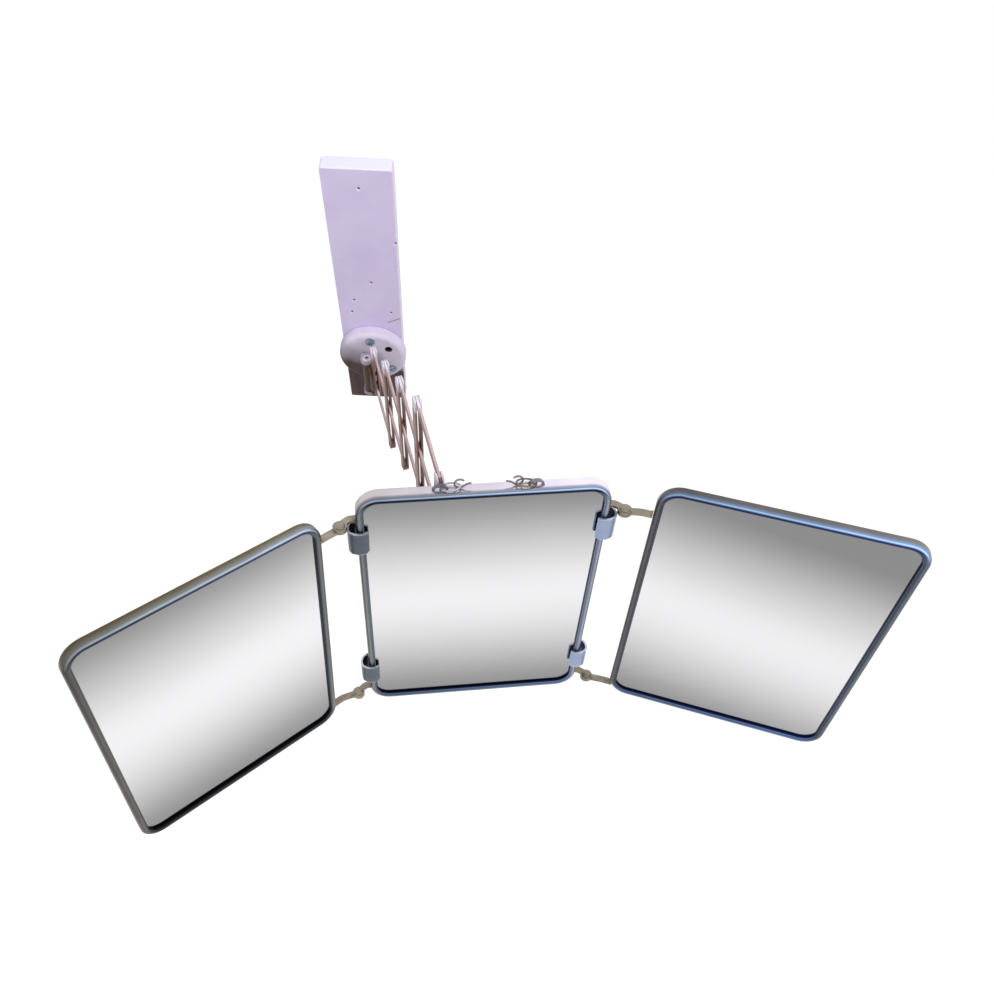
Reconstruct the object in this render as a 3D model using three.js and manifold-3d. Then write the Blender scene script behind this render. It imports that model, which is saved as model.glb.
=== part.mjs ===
// Barber's mirror: three framed mirrors on a lazy-tongs arm that folds out from a wall board.
// Millimetres. X runs along the wall, Y runs into the wall and Z is up; the origin is on the board's back.
import * as THREE from "three";
import { mergeVertices } from "three/addons/utils/BufferGeometryUtils.js";
import Module from "manifold-3d";

const wasm = await Module();
wasm.setup();

const DEG = Math.PI / 180;
const QUARTER = Math.PI / 2;
const SIDES = 10; // facets of a small round hole, shank or head

// Driving sizes.
const BOARD = { width: 66, height: 322, thick: 16, edge: 1.2 };
const BLOCK = { radius: 37, thick: 14, z: -74, lip: 5 };
const GLASS = { width: 180, height: 248, thick: 2.2, corner: 12 };
const BAR = { pitch: 67, width: 10, outer: 1.6, inner: 2.2, gap: 0.3 };

// The pose in which the mirror stands.
const ARM_SWING = 19.1 * DEG; // the arm points this far to the right of straight out
const ARM_OPEN = 77.9 * DEG; // between the upright bars and the slanted bars
const MIRROR_TURN = 8.44 * DEG;
const MIRROR_ROLL = 1.74 * DEG; // the tilt barrel sits a little off level
const MIRROR_TILT = -14.6 * DEG;
const WINGS = [
  { name: "left_wing", side: -1, fold: 34.8 * DEG, lean: 1.4 * DEG, roll: 1.5 * DEG, drop: -2 },
  { name: "right_wing", side: 1, fold: -23.9 * DEG, lean: -0.6 * DEG, roll: -0.2 * DEG, drop: 2.2 },
];

// Fits.
const RUNNING = 0.06; // a shank in its hole, on the radius
const SLACK = 0.3; // the far end of each slanted bar is loose on its rivet, so that the tongs close
const SEAT = 0.15; // between pieces that rest on each other

// Finishes.
const finish = (color, roughness, metalness) => () =>
  new THREE.MeshStandardMaterial({ color, roughness, metalness });
const boardPaint = finish(0xcdc1e0, 0.5, 0);
const ironPaint = finish(0xb9a6b4, 0.45, 0.1);
const barPaint = finish(0xcfb6bd, 0.4, 0.1);
const steel = finish(0x7d8fa3, 0.35, 0.9);
const plated = finish(0xb4bcc8, 0.18, 1);
const clampSteel = finish(0x66708a, 0.4, 0.8);
const strapMetal = finish(0x8c8464, 0.45, 0.7);
const silvered = finish(0xc9ccd0, 0.05, 1);
const pressedBoard = finish(0x8a7358, 0.8, 0);

// Turns a closed geometry into a manifold solid.
function solid(geometry) {
  const bare = geometry.index ? geometry.toNonIndexed() : geometry.clone();
  bare.deleteAttribute("normal");
  bare.deleteAttribute("uv");
  const merged = mergeVertices(bare, 1e-4);
  const vertProperties = new Float32Array(merged.attributes.position.array);
  const triVerts = new Uint32Array(merged.index.array);
  return new wasm.Manifold(new wasm.Mesh({ numProp: 3, vertProperties, triVerts }));
}

// Turns a manifold solid back into a flat-shaded geometry.
function geometryOf(body) {
  const mesh = body.getMesh();
  const geometry = new THREE.BufferGeometry();
  geometry.setAttribute("position", new THREE.BufferAttribute(mesh.vertProperties, 3));
  geometry.setIndex(new THREE.BufferAttribute(mesh.triVerts, 1));
  const flat = geometry.toNonIndexed();
  flat.computeVertexNormals();
  return flat;
}

const joined = (...geometries) => geometryOf(wasm.Manifold.union(geometries.map(solid)));
const common = (a, b) => geometryOf(solid(a).intersect(solid(b)));
const cut = (geometry, ...cutters) =>
  geometryOf(cutters.reduce((body, cutter) => body.subtract(solid(cutter)), solid(geometry)));

// A flat shape given a thickness, centred on z = 0.
function plate(shape, thick, curveSegments = 2) {
  const settings = { depth: thick, bevelEnabled: false, curveSegments };
  return new THREE.ExtrudeGeometry(shape, settings).translate(0, 0, -thick / 2);
}

// Lays a plate drawn as [along Y, Z] into the YZ plane, with its thickness along X.
const standing = (geometry) => geometry.rotateX(QUARTER).rotateZ(QUARTER);

// Turns a piece made about Z so that its top faces out of the wall.
const facingOut = (geometry) => geometry.rotateX(QUARTER);

function box(x0, x1, y0, y1, z0, z1) {
  const shape = new THREE.Shape();
  shape.moveTo(x0, y0).lineTo(x1, y0).lineTo(x1, y1).lineTo(x0, y1).closePath();
  return plate(shape, z1 - z0).translate(0, 0, (z0 + z1) / 2);
}

// A turned piece about Z, from [radius, height] pairs that start and end on the axis.
function turned(profile, sides = SIDES) {
  const points = profile.map(([radius, height]) => new THREE.Vector2(radius, height));
  return new THREE.LatheGeometry(points, sides).rotateX(QUARTER);
}

const rod = (radius, low, high, sides = SIDES) =>
  turned([[0, low], [radius, low], [radius, high], [0, high]], sides);

// A flat outline with rounded corners, from [x, y, radius] points in counterclockwise order.
function roundedShape(points) {
  const shape = new THREE.Shape();
  const count = points.length;
  points.forEach(([x, y, radius], i) => {
    const here = new THREE.Vector2(x, y);
    const [bx, by] = points[(i + count - 1) % count];
    const [ax, ay] = points[(i + 1) % count];
    const before = new THREE.Vector2(bx, by).sub(here).normalize();
    const after = new THREE.Vector2(ax, ay).sub(here).normalize();
    if (radius === 0) {
      if (i === 0) shape.moveTo(x, y);
      else shape.lineTo(x, y);
      return;
    }
    const half = Math.acos(before.dot(after)) / 2;
    const inward = before.clone().add(after).normalize();
    const middle = here.clone().addScaledVector(inward, radius / Math.sin(half));
    const reach = radius / Math.tan(half);
    const start = here.clone().addScaledVector(before, reach).sub(middle);
    const end = here.clone().addScaledVector(after, reach).sub(middle);
    const clockwise = before.cross(after) > 0;
    shape.absarc(middle.x, middle.y, radius, start.angle(), end.angle(), clockwise);
  });
  return shape.closePath();
}

// The outline of a strip of even width along a smooth centre line.
function stripShape(points, width, perSpan = 3) {
  const line = points.map(([x, y]) => new THREE.Vector3(x, y, 0));
  const curve = new THREE.CatmullRomCurve3(line, false, "centripetal");
  const samples = (points.length - 1) * perSpan;
  const near = [];
  const far = [];
  for (let i = 0; i <= samples; i += 1) {
    const at = curve.getPoint(i / samples);
    const along = curve.getTangent(i / samples);
    near.push(new THREE.Vector2(at.x - (along.y * width) / 2, at.y + (along.x * width) / 2));
    far.unshift(new THREE.Vector2(at.x + (along.y * width) / 2, at.y - (along.x * width) / 2));
  }
  return new THREE.Shape([...near, ...far]);
}

// Sweeps a closed profile of [outward, z] points round a rounded rectangle.
function sweptRectangle(width, height, corner, profile, steps) {
  const positions = [];
  const index = [];
  for (const [outward, z] of profile) {
    const radius = corner + outward;
    for (let quarter = 0; quarter < 4; quarter += 1) {
      const right = quarter === 0 || quarter === 3 ? 1 : -1;
      const up = quarter < 2 ? 1 : -1;
      for (let i = 0; i <= steps; i += 1) {
        const angle = (quarter + i / steps) * QUARTER;
        const x = right * (width / 2 - corner) + radius * Math.cos(angle);
        const y = up * (height / 2 - corner) + radius * Math.sin(angle);
        positions.push(x, y, z);
      }
    }
  }
  const ring = 4 * (steps + 1);
  profile.forEach((_, row) => {
    const next = (row + 1) % profile.length;
    for (let i = 0; i < ring; i += 1) {
      const j = (i + 1) % ring;
      const [a, b] = [row * ring + i, row * ring + j];
      const [c, d] = [next * ring + j, next * ring + i];
      index.push(a, c, b, a, d, c);
    }
  });
  const geometry = new THREE.BufferGeometry();
  geometry.setAttribute("position", new THREE.Float32BufferAttribute(positions, 3));
  geometry.setIndex(index);
  geometry.computeVertexNormals();
  return geometry;
}

// Points along part of an ellipse, as [x, y] pairs.
function ellipseArc(cx, cy, rx, ry, from, to, steps) {
  return Array.from({ length: steps + 1 }, (_, i) => {
    const angle = from + ((to - from) * i) / steps;
    return [cx + rx * Math.cos(angle), cy + ry * Math.sin(angle)];
  });
}

// The radius of a faceted hole whose flats clear a shank.
const hole = (radius, play = RUNNING, sides = SIDES) => (radius + play) / Math.cos(Math.PI / sides);

function mesh(name, geometry, material) {
  const made = new THREE.Mesh(geometry, material());
  made.name = name;
  return made;
}

const root = new THREE.Group();
root.name = "barber_mirror";

// Places on the wall.
const boardFront = -BOARD.thick;
const blockFace = boardFront - BLOCK.thick;

// Wood screws go through the turned block into the board. A fourth hole in the block is empty.
const WOOD_SCREW = { circle: 26.5, head: 5.4, rise: 1.8, shank: 2, length: 24, slot: 1.2, slotDeep: 0.8 };
const WOOD_SCREW_ANGLES = [92, -36];
const EMPTY_HOLE = { circle: 24.5, angle: 40, radius: 3, deep: 9 };
const pilot = hole(WOOD_SCREW.shank);

function onBlock(circle, degrees) {
  return [circle * Math.cos(degrees * DEG), BLOCK.z + circle * Math.sin(degrees * DEG)];
}

const woodScrewPlaces = WOOD_SCREW_ANGLES.map((degrees) => onBlock(WOOD_SCREW.circle, degrees));

function backboard() {
  const { width, height, thick, edge } = BOARD;
  const w = width / 2 - edge;
  const h = height / 2 - edge;
  // The top corners are knocked rounder than the bottom ones.
  const shape = roundedShape([[-w, -h, 1], [w, -h, 1], [w, h, 4], [-w, h, 3]]);
  const bevel = { bevelSize: edge, bevelThickness: edge, bevelSegments: 2 };
  const settings = { depth: thick - 2 * edge, curveSegments: 2, ...bevel };
  const board = facingOut(new THREE.ExtrudeGeometry(shape, settings).translate(0, 0, edge));
  const deep = WOOD_SCREW.length - BLOCK.thick + 1;
  const pilots = woodScrewPlaces.map(([x, z]) =>
    facingOut(rod(pilot, thick - deep, thick + 1)).translate(x, 0, z));
  return cut(board, ...pilots);
}
root.add(mesh("backboard", backboard(), boardPaint));

// The bracket is one strip bent to a C, with a rounded ear above and below the swivel.
const PIN = { radius: 3.2, head: 4.8, headThick: 1.6, bore: 1.6, boreDeep: 6, play: 0.1 };
const BRACKET = { x: -4.6, width: 14, thick: 3, high: -66.5, low: -115.5, ear: 7, pinOut: 10.1, bend: 4 };
const BRACKET_SCREW = { radius: 1.9, head: 3.4, rise: 1.2, length: 12, inset: 9 };
const pinY = blockFace - BRACKET.pinOut;
const bracketScrewZ = [BRACKET.high - BRACKET_SCREW.inset, BRACKET.low + BRACKET_SCREW.inset];

function wallBlock() {
  const { radius, thick, lip } = BLOCK;
  const nose = ellipseArc(radius - lip, thick - lip, lip, lip, 0, QUARTER, 3);
  const block = turned([[0, SEAT], [radius - 1, SEAT], [radius, 1 + SEAT], ...nose, [0, thick]], 28);
  const through = woodScrewPlaces.map(([x, z]) => rod(pilot, -1, thick + 1).translate(x, z - BLOCK.z, 0));
  const { circle, angle, radius: wide, deep } = EMPTY_HOLE;
  const [x, z] = onBlock(circle, angle);
  const empty = rod(wide, thick - deep, thick + 1).translate(x, z - BLOCK.z, 0);
  const blind = bracketScrewZ.map((height) =>
    rod(hole(BRACKET_SCREW.radius), thick - BRACKET_SCREW.length, thick + 1)
      .translate(BRACKET.x, height - BLOCK.z, 0));
  return facingOut(cut(block, ...through, empty, ...blind)).translate(0, boardFront, BLOCK.z);
}
root.add(mesh("wall_block", wallBlock(), boardPaint));

function woodScrew() {
  const { head, rise, shank, length, slot, slotDeep } = WOOD_SCREW;
  const dome = [[head, SEAT], [head, rise * 0.4], [head * 0.7, rise * 0.85], [0, rise]];
  const body = turned([[0, SEAT - length], [shank, SEAT - length + shank], [shank, SEAT], ...dome]);
  return cut(body, box(-head, head, -slot / 2, slot / 2, rise - slotDeep, rise + 1));
}
woodScrewPlaces.forEach(([x, z], i) => {
  const screw = mesh(`block_screw_${i + 1}`, facingOut(woodScrew()), steel);
  screw.position.set(x, blockFace, z);
  screw.rotation.y = WOOD_SCREW_ANGLES[i] * DEG;
  root.add(screw);
});

function wallBracket() {
  const { width, thick, high, low, ear, bend, x } = BRACKET;
  const back = SEAT - blockFace;
  const pinOut = -pinY;
  const reach = pinOut + ear;
  // The side view is drawn with its x axis out of the wall.
  const side = roundedShape([
    [back, low - thick, bend], [reach, low - thick, 0], [reach, low, 0], [back + thick, low, 1],
    [back + thick, high, 1], [reach, high, 0], [reach, high + thick, 0], [back, high + thick, bend],
  ]);
  const strip = plate(side, width).rotateX(QUARTER).rotateZ(-QUARTER);
  const plan = new THREE.Shape();
  plan.moveTo(-width / 2, 1 - back).lineTo(-width / 2, -back - thick).lineTo(-ear, -pinOut);
  plan.absarc(0, -pinOut, ear, Math.PI, 2 * Math.PI, false);
  plan.lineTo(width / 2, -back - thick).lineTo(width / 2, 1 - back).closePath();
  const outline = plate(plan, high - low + 4 * thick, 5).translate(0, 0, (high + low) / 2);
  const bore = rod(hole(PIN.radius), low - 2 * thick, high + 2 * thick).translate(0, pinY, 0);
  const holes = bracketScrewZ.map((z) =>
    facingOut(rod(hole(BRACKET_SCREW.radius), -1, 2 * thick)).translate(0, blockFace, z));
  return cut(common(strip, outline), bore, ...holes).translate(x, 0, 0);
}
root.add(mesh("wall_bracket", wallBracket(), ironPaint));

function bracketScrew() {
  const { radius, head, rise, length } = BRACKET_SCREW;
  const tip = SEAT + 0.2 - length;
  return turned([[0, tip], [radius, tip], [radius, SEAT], [head, SEAT], [head * 0.8, rise * 0.8], [0, rise]]);
}
bracketScrewZ.forEach((z, i) => {
  const screw = mesh(`bracket_screw_${i + 1}`, facingOut(bracketScrew()), steel);
  screw.position.set(BRACKET.x, blockFace - BRACKET.thick - SEAT, z);
  root.add(screw);
});

// A swivel pin between two ears is a tubular rivet: its upper end shows as a ring round a hole.
function swivelPin(low, high) {
  const { radius, head, headThick, bore, boreDeep, play } = PIN;
  const [bottom, top] = [low - play, high + play];
  return turned([
    [0, bottom - headThick], [head * 0.75, bottom - headThick], [head, bottom - headThick * 0.4],
    [head, bottom], [radius, bottom], [radius, top], [head, top], [head, top + headThick * 0.4],
    [head * 0.7, top + headThick], [bore, top + headThick], [bore, top - boreDeep], [0, top - boreDeep],
  ]);
}
const wallPin = mesh("wall_swivel_pin", swivelPin(BRACKET.low - BRACKET.thick, BRACKET.high + BRACKET.thick), steel);
wallPin.position.set(BRACKET.x, pinY, 0);
root.add(wallPin);

// The arm's own frame: the swivel pin at the origin, -Y out along the arm and +X to its right.
const arm = new THREE.Group();
arm.position.set(BRACKET.x, pinY, 0);
arm.rotation.z = ARM_SWING;
root.add(arm);

// The lazy tongs: upright pairs of bars, with slanted bars crossing in the gaps of the pairs.
const TONGS = { x: 6, out: 14, topZ: -37.8, cells: 3 };
const RIVET = { radius: 2, head: 3.3, rise: 0.9 };
const reachOut = BAR.pitch * Math.sin(ARM_OPEN);
const riseUp = BAR.pitch * (1 - Math.cos(ARM_OPEN));
const topRivet = (k) =>
  new THREE.Vector3(TONGS.x, -TONGS.out - k * reachOut, TONGS.topZ + k * riseUp);
const below = (place) => place.clone().add(new THREE.Vector3(0, 0, -BAR.pitch));
const pairX = BAR.inner / 2 + BAR.gap + BAR.outer / 2;
const halfStack = pairX + BAR.outer / 2;

// A bar hangs down -Z from its first rivet. Each hole is [distance from that rivet, radius].
function flatBar(rivets, thick, holes) {
  const length = (rivets - 1) * BAR.pitch;
  const shape = new THREE.Shape();
  shape.absarc(0, 0, BAR.width / 2, QUARTER, 3 * QUARTER, false);
  shape.absarc(length, 0, BAR.width / 2, -QUARTER, QUARTER, false);
  shape.closePath();
  for (const [at, radius] of holes) {
    shape.holes.push(new THREE.Path().absarc(at, 0, radius, 0, 2 * Math.PI, true));
  }
  return plate(shape, thick, SIDES / 2).rotateY(QUARTER);
}

// A rivet along X, with a domed head outside each of the two places.
function rivetAcross(left, right) {
  const { radius, head, rise } = RIVET;
  return turned([
    [0, left - rise], [head * 0.6, left - rise * 0.85], [head, left], [radius, left], [radius, right],
    [head, right], [head * 0.6, right + rise * 0.85], [0, right + rise],
  ]).rotateY(QUARTER);
}

// An upright link is a pair of bars; its rivets are peened fast in the left bar.
function addUprightLink(name, top, rivets, studHeights) {
  const link = new THREE.Group();
  link.position.copy(top);
  const places = Array.from({ length: rivets }, (_, i) => i * BAR.pitch);
  const studHoles = studHeights.map((z) => [top.z - z, hole(RIVET.radius)]);
  const rivetHoles = places.map((at) => [at, hole(RIVET.radius)]);
  const peened = places.map((at) => rivetAcross(0.2 - halfStack, halfStack + SEAT / 2).translate(0, 0, -at));
  const leftBar = flatBar(rivets, BAR.outer, studHoles).translate(-pairX, 0, 0);
  const rightBar = flatBar(rivets, BAR.outer, [...rivetHoles, ...studHoles]).translate(pairX, 0, 0);
  link.add(mesh(`${name}_left_bar`, joined(leftBar, ...peened), barPaint));
  link.add(mesh(`${name}_right_bar`, rightBar, barPaint));
  arm.add(link);
}

// A slanted link is one bar. Where it closes the linkage, its hole is slack.
function addSlantedLink(name, top, rivets, slackHoles) {
  const holes = Array.from({ length: rivets }, (_, i) => {
    const play = slackHoles.includes(i) ? SLACK : RUNNING;
    return [i * BAR.pitch, hole(RIVET.radius, play)];
  });
  const bar = mesh(name, flatBar(rivets, BAR.inner, holes), barPaint);
  bar.position.copy(top);
  bar.rotation.x = -ARM_OPEN;
  arm.add(bar);
}

const endTop = topRivet(TONGS.cells).add(new THREE.Vector3(0, -reachOut, riseUp - BAR.pitch));
const wallStuds = [BRACKET.high - 8, BRACKET.high - 24];
const END = { low: 58, high: 84, stud: 6 };
const endStuds = [END.high - END.stud, END.high - END.stud - 10];

addUprightLink("post", topRivet(0), 2, wallStuds);
for (let k = 1; k <= TONGS.cells; k += 1) addUprightLink(`upright_${k}`, topRivet(k), 3, []);
addUprightLink("end_post", endTop, 2, endStuds);
// Bars 1 and 3 carry the load from upright to upright; the even ones follow, and have the slack.
addSlantedLink("slanted_bar_0", below(topRivet(0)), 2, [1]);
for (let k = 1; k <= TONGS.cells; k += 1) {
  addSlantedLink(`slanted_bar_${k}`, topRivet(k - 1), 3, k % 2 ? [] : [0, 2]);
}
addSlantedLink(`slanted_bar_${TONGS.cells + 1}`, topRivet(TONGS.cells), 2, [0]);

// A swivel flag is a forged knuckle with a flat leaf, riveted to the left side of a post.
const FLAG = { knuckle: 5.5, leaf: 3, gap: 0.25, play: 0.3 };
const leafX = TONGS.x - halfStack - FLAG.gap - FLAG.leaf / 2;

function swivelFlag(leafShape, postY, low, high, studHeights) {
  const leaf = standing(plate(leafShape, FLAG.leaf)).translate(leafX, 0, 0);
  const reach = TONGS.x + halfStack - leafX + SEAT / 2;
  const studs = studHeights.map((z) =>
    rivetAcross(0.2 - FLAG.leaf / 2, reach).translate(leafX, postY, z));
  const bore = rod(hole(PIN.radius), low - 1, high + 1);
  return cut(joined(rod(FLAG.knuckle, low, high, 14), leaf, ...studs), bore);
}

function wallFlag() {
  const low = BRACKET.low + FLAG.play;
  const high = BRACKET.high - FLAG.play;
  const front = TONGS.out + BAR.width / 2;
  const leaf = roundedShape([
    [0, low + 1, 0], [0, high - 1, 0], [1 - TONGS.out, high - 1, 3], [-front, high - 16, 5],
    [-front, high - 26, 5], [-TONGS.out + 3, low + 1, 3],
  ].reverse());
  // The head of the post's lower rivet stands in a notch of the leaf.
  const lowRivet = below(topRivet(0));
  const notch = rod(RIVET.head + 2 * FLAG.gap, -5, 5).rotateY(QUARTER).translate(leafX, lowRivet.y, lowRivet.z);
  return cut(swivelFlag(leaf, -TONGS.out, low, high, wallStuds), notch);
}
arm.add(mesh("wall_swivel_flag", wallFlag(), ironPaint));

// At the mirrors the knuckle stands in front of the end post.
const endPinY = endTop.y - TONGS.out;

function endFlag() {
  const { low, high } = END;
  const back = TONGS.out + BAR.width / 2;
  const leaf = roundedShape([
    [0, low + 1, 0], [TONGS.out - 2, low + 2, 2], [back, low + 8, 3], [back, high - 2, 2],
    [TONGS.out - 6, high - 1, 2], [0, high - 1, 0],
  ]);
  return swivelFlag(leaf, TONGS.out, low, high, endStuds).translate(0, endPinY, 0);
}
arm.add(mesh("end_swivel_flag", endFlag(), ironPaint));

// The mirror head's own frame: its swivel pin at the origin.
const head = new THREE.Group();
head.position.set(0, endPinY, 0);
head.rotation.z = MIRROR_TURN - ARM_SWING;
arm.add(head);

// The yoke: two ears on the pin, a bridge plate in front and a barrel behind the mirrors' middle.
const YOKE = { ear: 3, radius: 8.5, bridge: 3, front: -9.4 };
const TILT = { x: 32.1, y: -18, z: 62, barrel: 4.8, half: 10, pin: 3, web: 8 };
const yokeLow = END.low - FLAG.play - YOKE.ear;
const yokeHigh = END.high + FLAG.play + YOKE.ear;
head.add(mesh("mirror_swivel_pin", swivelPin(yokeLow, yokeHigh), steel));

// Lays a piece made about Z along the tilt axis.
const alongTilt = (geometry) =>
  geometry.rotateY(QUARTER + MIRROR_ROLL).translate(TILT.x, TILT.y, TILT.z);

function mirrorYoke() {
  const { ear, radius, bridge, front } = YOKE;
  const earShape = new THREE.Shape();
  earShape.moveTo(radius, front).lineTo(radius, 0).absarc(0, 0, radius, 0, Math.PI, false);
  earShape.lineTo(-radius, front).closePath();
  const ears = [yokeLow + ear / 2, yokeHigh - ear / 2].map((z) => plate(earShape, ear, 5).translate(0, 0, z));
  const edge = TILT.x + TILT.web + 1;
  const face = roundedShape([
    [-radius, yokeLow, 1], [edge, TILT.z - 9, 4], [edge, TILT.z + 9, 4],
    [radius + 8, yokeHigh, 6], [-radius, yokeHigh, 1],
  ]);
  const plateInFront = facingOut(plate(face, bridge)).translate(0, front + bridge / 2, 0);
  const { x, y, z, web, barrel, half, pin } = TILT;
  const neck = box(x - web, x + web, y, front + 0.5, z - web / 2, z + web / 2);
  const body = joined(...ears, plateInFront, neck, alongTilt(rod(barrel, -half, half, 14)));
  const tiltBore = alongTilt(rod(hole(pin), -half - 1, half + 1));
  return cut(body, tiltBore, rod(hole(PIN.radius), yokeLow - 1, yokeHigh + 1));
}
head.add(mesh("mirror_yoke", mirrorYoke(), ironPaint));

// The carriage carries the mirrors and tilts about the barrel: X lies along the tilt axis.
const carriage = new THREE.Group();
carriage.position.set(TILT.x, TILT.y, TILT.z);
carriage.rotation.set(MIRROR_TILT, MIRROR_ROLL, 0, "YXZ");
head.add(carriage);

const LUG = { play: 0.4, thick: 3, radius: 6.5 };
const NUT = { radius: 6, neck: 4.6, height: 7, wing: 10.2, sheet: 2 };
const BOLT = { head: 5.6, headThick: 3.5, past: 9 };
const lugOut = TILT.half + LUG.play + LUG.thick;

function tiltBolt() {
  const { head: wide, headThick, past } = BOLT;
  const hexagon = rod(wide, -lugOut - SEAT - headThick, -lugOut - SEAT, 6);
  return joined(hexagon, rod(TILT.pin, -lugOut - 1, lugOut + past)).rotateY(QUARTER);
}
carriage.add(mesh("tilt_bolt", tiltBolt(), steel));

function wingNut() {
  const { radius, neck, height, wing, sheet } = NUT;
  const hub = turned([[0, 0], [radius, 0], [neck, height], [0, height]]);
  const wingShape = roundedShape([
    [3, 2, 0], [wing - 3, 1.5, 2], [wing, 6, 1.6], [wing - 1.6, 9.5, 1.2], [3, 6, 0],
  ]);
  const rightWing = facingOut(plate(wingShape, sheet));
  const leftWing = rightWing.clone().rotateZ(Math.PI);
  const thread = rod(hole(TILT.pin), -1, height + 1);
  return cut(joined(hub, rightWing, leftWing), thread).rotateY(QUARTER);
}
const nut = mesh("tilt_wing_nut", wingNut(), steel);
nut.position.x = lugOut + SEAT;
nut.rotation.x = 90 * DEG;
carriage.add(nut);

// The centre mirror's own frame: origin in the middle of the glass face, X right, Y back, Z up.
const centre = new THREE.Group();
const AXIS = { behind: 21.6, above: 55 }; // where the tilt axis is from the middle of the glass
centre.position.set(0, -AXIS.behind, -AXIS.above);
carriage.add(centre);

// The mirror's frame: a half-round nose over a channel that holds the glass and its backing.
const FRAME = { face: 6, wall: 1.2, nose: 3, depth: 9, wingDepth: 5, lip: 3, base: 0.3 };
const BACKING_GAP = 0.2;
const frameSide = GLASS.width / 2 + FRAME.face;
const frameTop = GLASS.height / 2 + FRAME.face;

function frameProfile(depth) {
  const { face, wall, nose, lip, base } = FRAME;
  const middle = face / 2;
  return [
    ...ellipseArc(middle, base, middle, nose, Math.PI, 0, 5),
    [face, wall - depth], [face - 1, -depth], [face - lip, -depth], [face - lip, wall - depth],
    [face - wall, wall - depth],
    ...ellipseArc(middle, base, middle - wall, nose - wall, 0, Math.PI, 3),
  ];
}

function addMirror(parent, name, depth) {
  const { width, height, thick, corner } = GLASS;
  const inset = FRAME.face - FRAME.wall - 2 * SEAT;
  const [w, h, r] = [width / 2 + inset, height / 2 + inset, corner + inset];
  const pane = roundedShape([[-w, -h, r], [w, -h, r], [w, h, r], [-w, h, r]]);
  const frame = facingOut(sweptRectangle(width, height, corner, frameProfile(depth), 4));
  const glass = facingOut(plate(pane, thick)).translate(0, thick / 2, 0);
  const front = thick + BACKING_GAP;
  const back = depth - FRAME.wall - SEAT;
  const behind = facingOut(plate(pane, back - front)).translate(0, (front + back) / 2, 0);
  parent.add(mesh(`${name}_frame`, frame, plated));
  parent.add(mesh(`${name}_glass`, glass, silvered));
  parent.add(mesh(`${name}_backing`, behind, pressedBoard));
}
addMirror(centre, "centre", FRAME.depth);

// A clamp bar is one strip of sheet that passes behind the mirror and hooks round both its sides.
const CLAMP = { sheet: 1.6, tall: 22, inset: 37.5, loop: 6.4, lowRound: 6, highRound: 2.5 };
const clampHigh = GLASS.height / 2 - CLAMP.inset;
const clampLow = -clampHigh;
const clampBack = FRAME.depth + SEAT * 2 + CLAMP.sheet / 2;
const STUD = { radius: 1.8, head: 3.2, rise: 0.9, x: 7 };

function clampBar() {
  const { sheet, tall, loop, lowRound, highRound } = CLAMP;
  const side = frameSide;
  const front = -FRAME.nose - FRAME.base - 1.8;
  const halfLine = [
    [side - 14, clampBack], [side - 1, clampBack], [side + 3, clampBack - 0.8], [side + loop - 0.8, 6],
    [side + loop, 1.5], [side + loop - 1.4, -2.6], [side + 0.5, front], [side - 4.5, front],
    [side - 8.5, front + 1.8],
  ];
  const line = [...halfLine.map(([x, y]) => [-x, y]).reverse(), ...halfLine];
  const band = plate(stripShape(line, sheet, 2), tall);
  const tip = side - 10;
  // Each hook ends in a tongue over the glass, rounded large below and small above.
  const window = roundedShape([
    [tip, -tall / 2, lowRound], [side + loop + 3, -tall / 2, 0],
    [side + loop + 3, tall / 2, 0], [tip, tall / 2, highRound],
  ]);
  const keepRight = facingOut(plate(window, 20));
  const keepLeft = keepRight.clone().rotateZ(Math.PI);
  const keepBack = box(-side - loop - 3, side + loop + 3, 0, clampBack + 2, -tall / 2, tall / 2);
  const holes = [-STUD.x, STUD.x].map((x) => facingOut(rod(hole(STUD.radius), -20, 20)).translate(x, 0, 0));
  return cut(common(band, joined(keepRight, keepLeft, keepBack)), ...holes);
}
for (const [name, z] of [["upper_clamp_bar", clampHigh], ["lower_clamp_bar", clampLow]]) {
  const bar = mesh(name, clampBar(), clampSteel);
  bar.position.z = z;
  centre.add(bar);
}

// The spine joins the two clamp bars. Its tilt lugs are cut from it and bent back, and leave a window.
const SPINE = { half: 10, waist: 7, thick: 3, past: 12 };
const spineFront = clampBack + CLAMP.sheet / 2 + SEAT;

// A stud along Y, headed behind the spine and in front of the clamp bar.
function spineStud(x, z) {
  const { radius, head: wide, rise } = STUD;
  const back = -spineFront - SPINE.thick + 0.2;
  const front = -clampBack + CLAMP.sheet / 2 + SEAT / 2;
  const stud = turned([
    [0, back - rise], [wide * 0.7, back - rise], [wide, back], [radius, back], [radius, front], [wide, front],
    [wide * 0.7, front + rise], [0, front + rise],
  ], 8);
  return facingOut(stud).translate(x, 0, z);
}

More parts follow.
